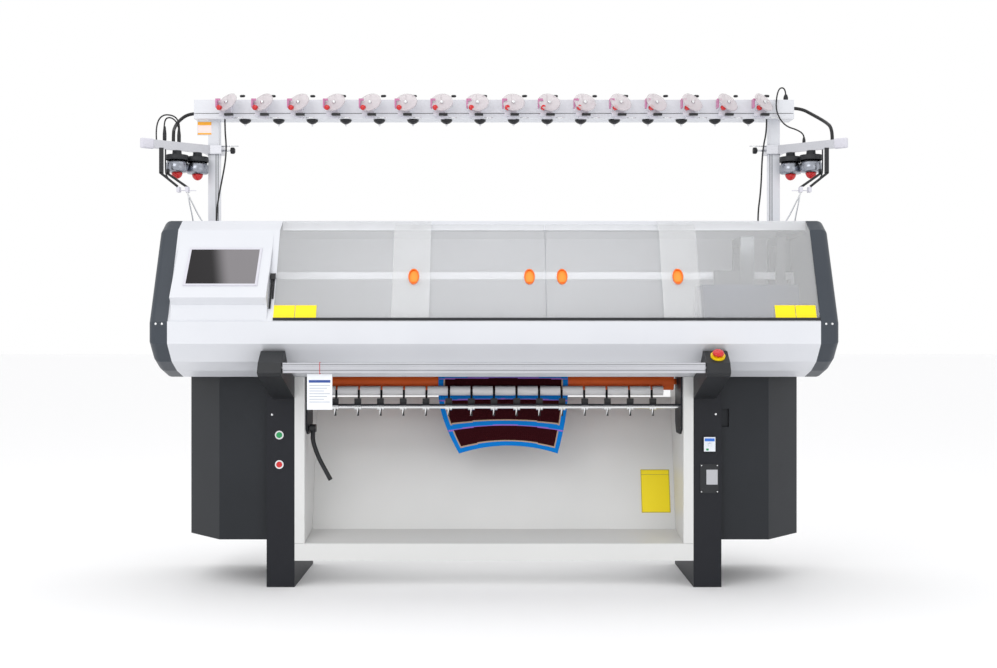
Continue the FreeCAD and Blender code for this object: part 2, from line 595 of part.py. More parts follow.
# Yarn rails on end posts, and two yarn carriers that hang in the knitting gap
rail_parts = []
for word, side in SIDES.items():
    rail_y = centred(f"gap_y + {side} * rail_spread", "rail_width")
    rail_parts.append(block(f"{word}_yarn_rail", ("-yarn_rail_half", "yarn_rail_half"), rail_y,
                            ("yarn_rail_low", "yarn_rail_high")))
    rail_parts.append(block(f"{word}_rail_post",
                            side_span(side, "yarn_rail_half - rail_post", "yarn_rail_half"),
                            ("gap_y - rail_spread - rail_width", "gap_y + rail_spread + rail_width"),
                            (BEAM_TOP, "yarn_rail_low")))
node("yarn_rails", fuse("rail_frame", *rail_parts))
for number, (word, side) in enumerate(SIDES.items(), start=1):
    middle = "carrier_one_x" if side < 0 else "carrier_two_x"
    wide = centred(middle, "carrier_width")
    face = f"gap_y + {side} * (rail_spread + rail_width / 2 + carrier_play)"
    inner = f"gap_y + {side} * (rail_spread - rail_width / 2 - carrier_play)"
    rim = f"({face}) + {side} * carrier_hook"
    low, high = (rim, inner) if side < 0 else (inner, rim)
    arm = (rim, face) if side < 0 else (face, rim)
    lip = (f"({inner})", f"({inner}) + 4") if side < 0 else (f"({inner}) - 4", f"({inner})")
    top = "yarn_rail_high + carrier_play"
    foot = [("gap_y", "carrier_tip"), (rim, "carrier_tip + 55"), (rim, "carrier_tip + 70"),
            (face, "carrier_tip + 70"), ("gap_y + 1", "carrier_tip + 4")]
    node(f"yarn_carrier_{number}", fuse(f"{word}_carrier",
         block(f"{word}_carrier_arm", wide, arm, ("carrier_tip + 64", f"{top} + carrier_hook")),
         block(f"{word}_carrier_cap", wide, (f"{low} - (4 * {int(side > 0)})",
                                             f"{high} + (4 * {int(side < 0)})"),
               (top, f"{top} + carrier_hook")),
         block(f"{word}_carrier_lip", wide, lip, ("yarn_rail_low + 8", f"{top} + 1")),
         prism(f"{word}_carrier_foot", "x", foot, *centred(middle, "carrier_width / 2"))))

# Take-down: side plates that hold the driven roller and the press shaft
plates = []
for word, side in SIDES.items():
    section = [("tie_y - 8", "leg_top"), ("tie_y - 8", "lever_z - 2"), ("rod_y - 8", "lever_z - 24"),
               ("roller_y", "lever_z - 24"), ("roller_y + 30", "lever_z + 20"),
               ("roller_y + 30", "leg_top")]
    plate_x = side_span(side, "plate_inner", "plate_inner + plate_sheet")
    sheet_metal = prism(f"{word}_plate_sheet", "x", section, *plate_x)
    start = f"{plate_x[0]} - 1"
    bores = [rod(f"{word}_{use}_bore", "x", (start, y, z), "plate_sheet + 2", radius)
             for use, y, z, radius in (
                 ("roller", "roller_y", "roller_z", "spindle + shaft_play"),
                 ("rod", "rod_y", "rod_z", "rod_radius + shaft_play"),
                 ("lever", "rod_y", "lever_z", "lever_radius + shaft_play"))]
    plates.append(cut(f"{word}_plate", sheet_metal, *bores))
plates.append(rod("tie_bar", "x", ("-plate_inner", "tie_y", "tie_z"), "2 * plate_inner",
                  "tie_radius"))
node("takedown_plates", group("plate_set", *plates))

SPAN = "plate_inner + plate_sheet - 2"
node("takedown_roller", fuse("roller_on_spindle",
     rod("roller_drum", "x", ("-roller_half", "roller_y", "roller_z"), "2 * roller_half",
         "roller_radius"),
     rod("roller_spindle", "x", (f"-({SPAN})", "roller_y", "roller_z"), f"2 * ({SPAN})",
         "spindle")))

# Press shaft: a collared rod, and fifteen arms on its collars that hold the rollers' axle
ARMS = range(-7, 8)
arm_section = [("rod_y - arm_sheet", "rod_z"), ("axle_y - arm_sheet", "axle_z"),
               ("axle_y + arm_sheet * 0.6", "axle_z - arm_sheet * 0.6"),
               ("rod_y + arm_sheet", "rod_z")]
shaft = [rod("press_rod", "x", (f"-({SPAN})", "rod_y", "rod_z"), f"2 * ({SPAN})", "rod_radius")]
levers = []
for index, arm in enumerate(ARMS):
    middle = f"{arm} * arm_pitch"
    ends = centred(middle, "collar_width")
    shaft.append(rod(f"collar_{index}", "x", (ends[0], "rod_y", "rod_z"), "collar_width",
                     "collar_radius"))
    lever = fuse(f"lever_{index}",
                 prism(f"arm_{index}", "x", arm_section, *centred(middle, "arm_sheet")),
                 block(f"weight_{index}", ends, ("rod_y - collar_radius - weight_proud", "rod_y"),
                       ("rod_z + weight_low", "rod_z + weight_low + weight_rise")),
                 block(f"hook_{index}", centred(middle, "arm_sheet"),
                       ("rod_y - collar_radius", "rod_y - hook_inset"),
                       ("rod_z - hook_drop", "rod_z")))
    levers.append(cut(f"press_arm_{index}", lever,
                      rod(f"arm_seat_{index}", "x", (ends[0], "rod_y", "rod_z"), "collar_width",
                          "collar_radius"),
                      rod(f"arm_eye_{index}", "x", (ends[0], "axle_y", "axle_z"),
                          "collar_width", "axle_radius")))
axle = rod("press_axle", "x", ("-press_half", "axle_y", "axle_z"), "2 * press_half",
           "axle_radius")
node("press_shaft", group("press_frame", fuse("collared_rod", *shaft), axle, *levers))
tyre = rod("press_tyre", "x", ("-press_half", "axle_y", "axle_z"), "2 * press_half",
           "press_radius")
press_gaps = [block(f"press_gap_{index}", centred(f"{arm} * arm_pitch", "arm_sheet + 2"),
                    centred("axle_y", "press_radius * 3"), centred("axle_z", "press_radius * 3"))
              for index, arm in enumerate(ARMS)]
axle_bore = rod("press_bore", "x", ("-press_half - 1", "axle_y", "axle_z"),
                "2 * press_half + 2", "axle_radius + shaft_play")
node("press_rollers", cut("press_roller_row", tyre, axle_bore, *press_gaps))

# Release lever: a pivot in the left plate and a bent round handle below it
lever_x = -size("plate_inner") + 18
lever_path = [(lever_x, size("rod_y"), size("lever_z")), (lever_x, size("rod_y") - 22, 590),
              (lever_x + 24, size("rod_y") - 36, 525), (-664, size("rod_y") - 40, 430)]
node("release_lever", fuse("lever",
     rod("lever_pin", "x", (f"-({SPAN})", "rod_y", "lever_z"), "plate_sheet - 2 + 30",
         "lever_radius"),
     rod("lever_hub", "x", ("-plate_inner + 4", "rod_y", "lever_z"), "26",
         "lever_radius + 7"),
     tube("lever_handle", lever_path, size("lever_radius"))))

# Start bar: the flat rail along the front, hung between the two brackets, and the job card
BAR_Y = "(bar_front + bar_back) / 2"
BAR_Z = "(bar_low + bar_high) / 2"
bar = block("bar_blank", ("-bar_half", "bar_half"), ("bar_front", "bar_back"),
            ("bar_low", "bar_high"))
grooves = [block(f"bar_groove_{index}", ("-bar_half - 1", "bar_half + 1"),
                 ("bar_front - 1", "bar_front + 3"), centred(height, "3"))
           for index, height in enumerate(("bar_low + 13", "bar_high - 13"))]
pins = rod("bar_pins", "x", ("-bar_half - 12", BAR_Y, BAR_Z), "2 * (bar_half + 12)", "bar_pin")
node("start_bar", fuse("bar_with_pins", cut("bar_profile", bar, *grooves), pins))
card = block("card_sheet", ("card_left", "card_right"), ("card_y", "card_y + card_sheet"),
             ("card_low", "card_high"))
cord_x = centred("string_x", "2")
string = cut("string_loop", block("string_outer", cord_x,
                                  ("bar_front - 2.3", "bar_back + 2.3"),
                                  ("card_high", "bar_high + 2.3")),
             block("string_inner", centred("string_x", "4"), ("bar_front - 0.3", "bar_back + 0.3"),
                   ("card_high + 2", "bar_high + 0.3")))
node("hanging_card", group("card_on_string", card, string))

# Brackets: moulded arms from the legs that reach under the head to the start bar
bracket = [("leg_front", "bracket_root"), ("bar_front", "bracket_chin - 8"),
           ("bracket_nose", "bracket_chin + 6"), ("bar_front", "bar_high"),
           ("bracket_crest", "bracket_top"), ("bracket_crest + 25", "bracket_top"),
           ("belly_one_y", "belly_one_z - bracket_slack"),
           ("belly_two_y", "belly_two_z - bracket_slack"),
           ("leg_front", "leg_top - bracket_slack")]


def tilted(name, lift, length, radius):
    """Disc square to the sloping top of the bracket, lifted off it."""
    disc = doc.addObject("Part::Cylinder", name)
    disc.Placement = FreeCAD.Placement(Vector(), FreeCAD.Rotation(Vector(1, 0, 0), 10))
    disc.setExpression("Placement.Rotation.Angle", bound("stop_tilt"))
    disc.setExpression("Radius", bound(radius))
    disc.setExpression("Height", bound(length))
    slope = "(bracket_top - bar_high) / (bracket_crest - bar_front)"
    return place(disc, "stop_x", f"stop_y - ({lift}) * sin(stop_tilt)",
                 f"bar_high + (stop_y - bar_front) * {slope} + ({lift}) * cos(stop_tilt)")


arms = []
for word, side in SIDES.items():
    arm_x = side_span(side, "leg_inner", "bracket_outer")
    socket = rod(f"{word}_socket", "x",
                 (f"{side} * (leg_inner + 5) - 12", BAR_Y, BAR_Z), "24", "bar_pin + shaft_play")
    holes = [socket]
    if side > 0:
        holes.append(tilted("stop_well", "-stop_well", "stop_well + 1", "stop_cap / 2 + 1"))
    arms.append(cut(f"{word}_bracket", prism(f"{word}_bracket_arm", "x", bracket, *arm_x),
                    *holes))
node("start_bar_brackets", group("bracket_pair", *arms))


# Emergency stop on the right bracket's sloping top
node("stop_ring", cut("stop_ring_body", tilted("ring_disc", "stop_seat", "ring_thick", "stop_ring"),
                      tilted("ring_bore", "-1", "ring_thick + 2", "stop_cap / 2 + shaft_play")))
node("stop_mushroom", fuse("mushroom",
     tilted("mushroom_stem", "-stop_stem", "stop_stem + stop_lift", "stop_cap / 2"),
     tilted("mushroom_cap", "stop_lift", "stop_lift", "stop_cap")))

# Push buttons in silver bezels on the left leg
bezels = []
for label, use, height in (("start_button", "start", "start_z"),
                           ("stop_button", "halt", "halt_z")):
    ring = rod(f"{use}_bezel", "y", ("-button_x", "leg_front - bezel_rise", height),
               "bezel_rise", "bezel_radius")
    sleeve = rod(f"{use}_sleeve", "y", ("-button_x", "leg_front - 1", height),
                 "bezel_sleeve + 1", "button_radius + button_play + 2")
    bore = rod(f"{use}_bore", "y", ("-button_x", "leg_front - bezel_rise - 1", height),
               "bezel_rise + bezel_sleeve + 2", "button_radius + shaft_play")
    bezels.append(cut(f"{use}_bezel_body", fuse(f"{use}_bezel_blank", ring, sleeve), bore))
    node(label, rod(f"{use}_cap", "y", ("-button_x", "leg_front - bezel_rise - 3", height),
                    "bezel_rise + button_depth + 3", "button_radius"))
node("button_bezels", group("bezel_pair", *bezels))

# Breaker on the right leg: a framed body with a rocking toggle
body_x = centred("breaker_x", "breaker_width")
body_z = centred("breaker_z", "breaker_tall")
frame = block("breaker_frame", body_x, ("leg_front - breaker_deep", "leg_front"), body_z)
recess = rod("toggle_bore", "x", ("breaker_x - toggle_width / 2 - 0.5",
                                  "leg_front - breaker_deep", "breaker_z"),
             "toggle_width + 1", "toggle_radius + shaft_play")
node("breaker_body", cut("breaker", frame, recess))
node("breaker_toggle", fuse("toggle",
     rod("toggle_barrel", "x", ("breaker_x - toggle_width / 2", "leg_front - breaker_deep",
                                "breaker_z"), "toggle_width", "toggle_radius"),
     block("toggle_tab", centred("breaker_x", "toggle_width"),
           ("leg_front - breaker_deep - 15", "leg_front - breaker_deep"),
           centred("breaker_z", "6"))))

# Blank rating plate with four screws on the right leg
plate = [block("plate_sheet_blank", ("plate_left", "plate_right"),
               ("leg_front - plate_thick", "leg_front"), ("plate_low", "plate_high"))]
for index, (x, z) in enumerate((x, z) for x in ("plate_left + 7", "plate_right - 7")
                               for z in ("plate_low + 7", "plate_high - 7")):
    plate.append(rod(f"plate_screw_{index}", "y", (x, "leg_front - plate_thick - 1.5", z), "2",
                     "3"))
node("rating_plate", fuse("plate_with_screws", *plate))

# Stylus: a two-pronged holder that hangs on the margin of the console
prongs = []
for index, (shift, low, radius) in enumerate(((-4, 1122, 4), (5, 1160, 3.5))):
    prong = doc.addObject("Part::Cylinder", f"prong_{index}")
    prong.Placement = FreeCAD.Placement(Vector(), FreeCAD.Rotation(Vector(-1, 0, 0), 10))
    prong.setExpression("Placement.Rotation.Angle", bound(LEAN))
    prong.setExpression("Radius", str(radius))
    prong.setExpression("Height", bound(f"({1250 - low}) / cos({LEAN})"))
    prongs.append(place(prong, f"-stylus_x + {shift}",
                        f"{on_door('0', str(low))} - ({radius} + 0.3) / cos({LEAN})", low))
clip = prism("stylus_clip", "x", [
    (f"{on_door('0', '1236')} - 0.3", "1236"), (f"{on_door('0', '1260')} - 0.3", "1260"),
    (f"{on_door('0', '1260')} - 14", "1260"), (f"{on_door('0', '1236')} - 14", "1236")],
    "-stylus_x - 10", "-stylus_x + 10")
node("stylus", fuse("stylus_holder", clip, *prongs))

# Yarn stand: two posts on the head and the long rail across them
posts = [block(f"{word}_post", centred(f"{side} * post_x", "post_width"),
               centred("post_y", "post_width"), ("crown_z", "stand_low"))
         for word, side in SIDES.items()]
node("stand_posts", group("post_pair", *posts))
rail = block("stand_blank", ("-stand_half", "stand_half"), ("stand_front", "stand_back"),
             ("stand_low", "stand_high"))
groove = block("stand_groove_cut", ("-stand_half - 1", "stand_half + 1"),
               ("stand_front - 1", "stand_front + stand_groove"), ("groove_low", "groove_high"))
node("stand_rail", cut("stand_box", rail, groove))

# Yarn controllers: a block on the rail's face with a tension disc, and a funnel below the rail
COUNT = int(SIZES["controllers"])
rows = []
for index in range(COUNT):
    middle = f"{index - (COUNT - 1) / 2} * controller_pitch"
    yaw = size(f"first_yaw + (last_yaw - first_yaw) * {index / (COUNT - 1)}")
    turned = FreeCAD.Rotation(Vector(0, 0, 1), yaw).multiply(TURNS["x"])
    body = block(f"controller_block_{index}", centred(middle, "block_width"),
                 ("stand_front - block_width", "stand_front"),
                 centred("disc_z", "block_tall"))
    link = block(f"controller_link_{index}", centred(middle, "hub_radius"),
                 ("disc_y", "stand_front - 5"), centred("disc_z", "hub_radius"))
    spread = f"cos({yaw})", f"sin({yaw})"
    disc = rod(f"disc_{index}", "x", (f"{middle} - disc_thick / 2 * {spread[0]}",
                                      f"disc_y - disc_thick / 2 * {spread[1]}", "disc_z"),
               "disc_thick", "disc_radius")
    hub = rod(f"hub_{index}", "x", (f"{middle} - hub_rise * {spread[0]}",
                                    f"disc_y - hub_rise * {spread[1]}", "disc_z"),
              "hub_rise", "hub_radius")
    for turning in (disc, hub):
        turning.Placement = FreeCAD.Placement(turning.Placement.Base, turned)
    funnel = cone(f"funnel_{index}", (f"{index - (COUNT - 1) / 2} * funnel_pitch", "funnel_y",
                                      "stand_low - funnel_drop"), "funnel_drop", "funnel_tip",
                  "funnel_radius")
    rows += [fuse(f"controller_{index}", body, link, disc, hub), funnel]
node("yarn_controllers", group("controller_row", *rows))

# Leads: a thin wire arched from the rail's top to the block of each controller
wires = []
top_z = size("stand_high")
block_z = size("disc_z + block_tall / 2")
for index in range(COUNT):
    x = (index - (COUNT - 1) / 2) * size("controller_pitch")
    front_y = size("stand_front - block_width / 2")
    wires.append(tube(f"lead_{index}", [
        (x, size("lead_y"), top_z), (x, size("lead_y"), top_z + 20),
        (x, size("lead_y") - 25, top_z + 25), (x, front_y, top_z + 17), (x, front_y, block_z)],
        size("lead_radius")))
node("controller_leads", group("lead_row", *wires))


# Side arms: a flat bar swept forward from a clamp on each post
def along_arm(side, along):
    """Place on the centre line of an arm, some way out from its root."""
    return (f"{side} * (arm_root_x + ({along}) * cos(arm_yaw))",
            f"arm_root_y - ({along}) * sin(arm_yaw)")


arms = []
for word, side in SIDES.items():
    bar = prism(f"{word}_arm_bar", "z",
                [("0", "-arm_bar / 2"), ("arm_length", "-arm_bar / 2"),
                 ("arm_length", "arm_bar / 2"), ("0", "arm_bar / 2")],
                "arm_low", "arm_low + arm_rise")
    heading = -size("arm_yaw") if side > 0 else 180 + size("arm_yaw")
    bar.Placement = FreeCAD.Placement(Vector(), FreeCAD.Rotation(Vector(0, 0, 1), heading))
    place(bar, *along_arm(side, "0"), "arm_low")
    clamp = block(f"{word}_arm_clamp", centred(f"{side} * post_x", "clamp_half * 2"),
                  centred("post_y", "clamp_half * 2"), ("arm_low", "arm_low + arm_rise"))
    notch = block(f"{word}_arm_notch", centred(f"{side} * post_x", "post_width"),
                  centred("post_y", "post_width"), ("arm_low - 1", "arm_low + arm_rise + 1"))
    arms.append(cut(f"{word}_arm", fuse(f"{word}_arm_blank", bar, clamp), notch))
node("side_arms", group("arm_pair", *arms))

# Yarn feeders: two housings under each arm, each with a turning drum, and a wire yarn hook
housings = []
number = 0
for word, side in SIDES.items():
    for step in (0, 1):
        number += 1
        x, y = along_arm(side, f"feeder_first + {step} * feeder_pitch")
        rim = rod(f"feeder_ring_{number}", "z", (x, y, "ring_low"), "ring_rise", "ring_radius")
        neck = rod(f"feeder_neck_{number}", "z", (x, y, "ring_low"), "arm_low - ring_low",
                   "ring_radius * 0.4")
        bore = rod(f"feeder_bore_{number}", "z", (x, y, "ring_low - 1"), "ring_rise",
                   "feeder_shaft + shaft_play")
        housings.append(cut(f"feeder_housing_{number}",
                            fuse(f"feeder_body_{number}", rim, neck), bore))
        node(f"feeder_drum_{number}", fuse(f"feeder_turning_{number}",
             rod(f"drum_shaft_{number}", "z", (x, y, "ring_low - 5"), "ring_rise",
                 "feeder_shaft"),
             rod(f"drum_wall_{number}", "z", (x, y, "drum_low - 1"),
                 "ring_low - drum_low + 1 - feeder_gap", "drum_radius"),
             rod(f"drum_lip_{number}", "z", (x, y, "lip_low"), "drum_low - lip_low",
                 "drum_lip"),
             cone(f"drum_cup_{number}", (x, y, "cup_low"), "lip_low - cup_low",
                  "cup_radius * 0.45", "cup_radius")))
    reach = [size(formula) for formula in along_arm(side, "220")]
    housings.append(tube(f"{word}_yarn_hook", [
        (reach[0], reach[1], size("arm_low")), (reach[0], reach[1] - 1, 1730),
        (reach[0] - side * 1, reach[1], 1676), (reach[0] - side * 40, reach[1] + 2, 1640)], 3))
node("feeder_housings", group("feeder_set", *housings))


# Knitted fabric: one sheet from the knitting gap, through the nip, hanging in the tray space
def ribbon(line, thickness):
    """Closed section of a sheet about its middle line of (y, z) points."""
    sides = [[], []]
    for before, point, after in zip(line[:1] + line, line, line[1:] + line[-1:]):
        run = Vector(0, after[0] - before[0], after[1] - before[1]).normalize()
        for edge, sign in zip(sides, (1, -1)):
            edge.append(Vector(0, point[0] - sign * run.z * thickness / 2,
                               point[1] + sign * run.y * thickness / 2))
    ring = sides[0] + sides[1][::-1]
    return Part.Face(Part.makePolygon(ring + ring[:1]))


wrap = size("roller_radius + fabric_sheet / 2 + 1")
drum_y, drum_z = size("roller_y"), size("roller_z")
gap = size("gap_y")
middle_line = [(gap, size("apex_z") - 3), (gap, size("leg_top + beam_rise") - 5)]
middle_line += [(drum_y + wrap * math.cos(math.radians(angle)),
                 drum_z + wrap * math.sin(math.radians(angle))) for angle in range(180, 221, 8)]
middle_line += [(gap - 1, drum_z - 38), (gap, drum_z - 60), (gap, size("fabric_foot"))]
width = size("fabric_right - fabric_left")
sagitta = size("fabric_arch")
arch = (width / 2) ** 2 / (2 * sagitta) + sagitta / 2
hanging = ribbon(middle_line, size("fabric_sheet")).extrude(Vector(width, 0, 0))
hanging.translate(Vector(size("fabric_left"), 0, 0))
scoop = Part.makeCylinder(arch, 80, Vector(size("fabric_left") + width / 2, 0,
                                           size("fabric_foot") + sagitta - arch), Vector(0, 1, 0))
fabric = doc.addObject("Part::Feature", "fabric")
fabric.Shape = hanging.cut(scoop)
node("knitted_fabric", fabric)

# Hoses and cables of the yarn stand
under = size("stand_low")
head = size("crown_z")
arm_top = size("arm_low + arm_rise")
end_x = size("stand_half")
node("left_hose", tube("left_hose_run", [
    (-end_x, 185, 1962), (-1302, 185, 1962), (-1337, 152, 1926), (-1343, 100, 1886),
    (-1335, 55, 1858), (-1335, 55, arm_top)], 7))
node("left_cable", tube("left_cable_run", [
    (-1140, 150, under), (-1140, 150, 1885), (-1133, 147, 1815), (-1138, 146, 1748),
    (-1151, 147, 1680), (-1165, 148, 1610), (-1176, 152, 1543), (-1176, 152, head)], 3.5))
node("right_hose", tube("right_hose_run", [
    (end_x, 185, 1985), (1308, 185, 1985), (1352, 140, 1948), (1386, 72, 1908),
    (1395, 3.5, 1872), (1395, 3.5, arm_top)], 7))
node("right_cable", tube("right_cable_run", [
    (1155, 150, under), (1155, 150, 1883), (1140, 147, 1815), (1134, 146, 1745),
    (1132, 147, 1672), (1127, 149, 1603), (1119, 153, 1540), (1119, 153, head)], 3.5))

doc.recompute()
for thing in doc.Objects:
    if "Invalid" in thing.State or "Error" in thing.State:
        raise RuntimeError(f"{thing.Name} failed: {thing.State}")
os.makedirs("parts", exist_ok=True)
for part in NODES:
    if part.Shape.isNull() or not part.Shape.isValid():
        raise RuntimeError(f"{part.Label} has no valid shape")
    part.Shape.exportStep(f"parts/{part.Label}.step")
print(len(NODES), "sub-parts written")
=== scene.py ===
"""Looks of a flat knitting machine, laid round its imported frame. Metres, +Z up, front at -Y."""
import math

import bmesh
import bpy
import numpy as np
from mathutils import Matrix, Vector


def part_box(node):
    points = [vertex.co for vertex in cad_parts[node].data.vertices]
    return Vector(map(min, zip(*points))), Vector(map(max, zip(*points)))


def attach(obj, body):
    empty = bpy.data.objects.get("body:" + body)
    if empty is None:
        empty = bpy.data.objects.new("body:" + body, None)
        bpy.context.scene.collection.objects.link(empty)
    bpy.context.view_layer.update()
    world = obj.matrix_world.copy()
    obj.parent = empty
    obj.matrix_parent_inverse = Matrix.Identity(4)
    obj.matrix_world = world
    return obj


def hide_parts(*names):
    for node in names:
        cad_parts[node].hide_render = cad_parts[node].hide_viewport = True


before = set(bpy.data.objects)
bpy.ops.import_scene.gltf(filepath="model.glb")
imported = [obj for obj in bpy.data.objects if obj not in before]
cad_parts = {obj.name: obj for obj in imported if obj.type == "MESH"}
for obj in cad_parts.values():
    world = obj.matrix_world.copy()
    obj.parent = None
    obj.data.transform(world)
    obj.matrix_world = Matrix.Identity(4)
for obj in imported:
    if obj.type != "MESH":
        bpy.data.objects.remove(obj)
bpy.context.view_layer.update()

bl_info = {
    "name": "Flat Knitting Machine",
    "version": (1, 0, 0),
    "blender": (4, 5, 0),
    "location": "3D View > Sidebar > Knitting",
    "description": "Builds the finished pieces and materials of a flat knitting machine",
    "category": "Add Mesh",
}

MM = 0.001
ORIGIN = (0.0, 0.0, 0.0)
COLOUR = dict(subtype="COLOR", size=3, min=0, max=1)


# ---------------------------------------------------------------- colours and node trees

def tint(code):
    """Linear colour of an sRGB hex value."""
    parts = np.array([int(code[i:i + 2], 16) for i in (1, 3, 5)]) / 255
    linear = np.where(parts <= 0.04045, parts / 12.92, ((parts + 0.055) / 1.055) ** 2.4)
    return (*linear.tolist(), 1.0)


def add_node(tree, kind, links=None, **settings):
    """Adds a node, sets its properties and unlinked sockets, and links its inputs."""
    item = tree.nodes.new(kind)
    sockets = settings.pop("sockets", {})
    for name, value in settings.items():
        setattr(item, name, value)
    for name, value in sockets.items():
        item.inputs[name].default_value = value
    for name, source in (links or {}).items():
        tree.links.new(source, item.inputs[name])
    return item


def new_material(name, base, rough, metallic=0.0, ior=None, **more):
    """Material with one principled shader; more holds its other sockets."""
    stuff = bpy.data.materials.new(name)
    stuff.use_nodes = True
    tree = stuff.node_tree
    shader = tree.nodes["Principled BSDF"]
    shader.inputs["Base Color"].default_value = tint(base)
    shader.inputs["Roughness"].default_value = rough
    shader.inputs["Metallic"].default_value = metallic
    if ior:
        shader.inputs["IOR"].default_value = ior
    for socket, value in more.items():
        shader.inputs[socket.replace("_", " ")].default_value = value
    return stuff, tree, shader


def place_in(tree):
    """Object coordinates, in metres."""
    return add_node(tree, "ShaderNodeTexCoord").outputs["Object"]


def add_grain(tree, shader, size_mm, depth_mm, rough_low, rough_high, stretch=(1, 1, 1),
              detail=3.0):
    """Fine relief and uneven gloss from noise of a given feature size."""
    mapped = add_node(tree, "ShaderNodeMapping", {"Vector": place_in(tree)},
                      sockets={"Scale": stretch})
    noise = add_node(tree, "ShaderNodeTexNoise", {"Vector": mapped.outputs[0]},
                     sockets={"Scale": 1 / (size_mm * MM), "Detail": detail})
    spread = add_node(tree, "ShaderNodeMapRange", {"Value": noise.outputs["Fac"]},
                      sockets={"From Min": 0.3, "From Max": 0.7, "To Min": rough_low,
                               "To Max": rough_high})
    tree.links.new(spread.outputs[0], shader.inputs["Roughness"])
    relief = add_node(tree, "ShaderNodeBump", {"Height": noise.outputs["Fac"]},
                      sockets={"Strength": 0.5, "Distance": depth_mm * MM})
    tree.links.new(relief.outputs[0], shader.inputs["Normal"])
    return noise


def bands(spacing):
    """Scale of a wave texture whose bands lie that far apart: its phase is 20 times the scale."""
    return math.tau / 20 / spacing


def add_mottle(tree, shader, low, high, size_mm):
    """Slow drift between two near colours over a surface."""
    noise = add_node(tree, "ShaderNodeTexNoise", {"Vector": place_in(tree)},
                     sockets={"Scale": 1 / (size_mm * MM), "Detail": 2.0})
    mix = add_node(tree, "ShaderNodeMix", {"Factor": noise.outputs["Fac"]}, data_type="RGBA")
    mix.inputs["A"].default_value = tint(low)
    mix.inputs["B"].default_value = tint(high)
    tree.links.new(mix.outputs["Result"], shader.inputs["Base Color"])
    return mix


def painted(name, low, high, rough, grain_mm=1.2, relief_mm=0.02, **more):
    """Sprayed or powder-coated sheet: slow colour drift under a fine orange peel."""
    stuff, tree, shader = new_material(name, low, rough, ior=1.5, **more)
    add_mottle(tree, shader, low, high, 260)
    add_grain(tree, shader, grain_mm, relief_mm, rough * 0.88, rough * 1.12)
    return stuff


def moulded(name, low, high, rough, grain_mm=0.9, relief_mm=0.02, **more):
    """Injection-moulded plastic with a spark-eroded texture."""
    stuff, tree, shader = new_material(name, low, rough, ior=1.46, **more)
    add_mottle(tree, shader, low, high, 60)
    add_grain(tree, shader, grain_mm, relief_mm, rough * 0.85, rough * 1.15)
    return stuff


def drawn_metal(name, low, high, rough, stretch=(0.02, 1, 1), grain_mm=0.8):
    """Bare metal with draw or grinding lines along one axis."""
    stuff, tree, shader = new_material(name, low, rough, metallic=1.0)
    add_mottle(tree, shader, low, high, 120)
    add_grain(tree, shader, grain_mm, 0.006, rough * 0.75, rough * 1.3, stretch)
    return stuff


# ---------------------------------------------------------------- surfaces

def put(name, vertices, faces, body, material, slot, smooth=True):
    """Makes a mesh piece from arrays, welds nothing, and rides it on a body."""
    mesh = bpy.data.meshes.new(name)
    mesh.from_pydata(vertices.reshape(-1, 3).tolist(), [], faces.tolist())
    mesh.update()
    mesh.polygons.foreach_set("use_smooth", [smooth] * len(mesh.polygons))
    piece = bpy.data.objects.new(name, mesh)
    bpy.context.scene.collection.objects.link(piece)
    mesh.materials.append(bpy.data.materials[material])
    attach(piece, body)
    return piece


def grid_faces(rows, columns, wrap_rows=False, wrap_columns=False):
    """Quads between neighbouring points of a rows by columns grid."""
    down = np.arange(rows if wrap_rows else rows - 1)
    along = np.arange(columns if wrap_columns else columns - 1)
    row, column = (part.ravel() for part in np.meshgrid(down, along, indexing="ij"))
    below, beside = (row + 1) % rows, (column + 1) % columns
    return np.stack([row * columns + column, row * columns + beside,
                     below * columns + beside, below * columns + column], axis=1)


def turned(profile, centre, axis="z", steps=40):
    """Surface of revolution: every (radius, height) of the profile, in millimetres, is carried
    round a circle, so a point is centre + radius * (cos a, sin a) across the axis + height
    along it."""
    profile = np.asarray(profile, float) * MM
    angle = np.linspace(0, 2 * np.pi, steps, endpoint=False)
    radius = np.maximum(profile[:, :1], 1e-5)
    height = np.repeat(profile[:, 1:], steps, axis=1)
    across, up = radius * np.cos(angle), radius * np.sin(angle)
    order = {"z": (across, up, height), "x": (height, across, up), "y": (up, height, across)}
    points = np.stack(order[axis], axis=2) + np.asarray(centre, float)
    return points, grid_faces(len(profile), steps, wrap_columns=True)


def rod(radius, length):
    """Profile of a plain round bar."""
    return [(0, 0), (radius, 0), (radius, length), (0, length)]


def join(parts):
    """One vertex array and one face array from several."""
    vertices, faces, count = [], [], 0
    for points, quads in parts:
        points = points.reshape(-1, 3)
        vertices.append(points)
        faces.append(quads + count)
        count += len(points)
    return np.concatenate(vertices), np.concatenate(faces)


BOX_FACES = np.array([[0, 2, 3, 1], [4, 5, 7, 6], [0, 1, 5, 4], [2, 6, 7, 3], [0, 4, 6, 2],
                      [1, 3, 7, 5]])


def brick(low, high):
    """Closed box: its eight corners are each choice of low or high along X, Y and Z."""
    low, high = np.asarray(low, float), np.asarray(high, float)
    bits = (np.arange(8)[:, None] >> np.array([2, 1, 0])) & 1
    return np.where(bits == 1, high, low), BOX_FACES


def spot(origin, right, back, up):
    """The point that many millimetres right of, behind and above an origin in metres."""
    return np.asarray(origin, float) + np.array([right, back, up]) * MM


def block(origin, low, high):
    """Closed box between two corners given in millimetres from an origin in metres."""
    return brick(spot(origin, *low), spot(origin, *high))


def aim(points, turn, centre):
    """Points turned by a 3 by 3 matrix and moved to a centre."""
    return points @ np.asarray(turn, float).T + np.asarray(centre, float)


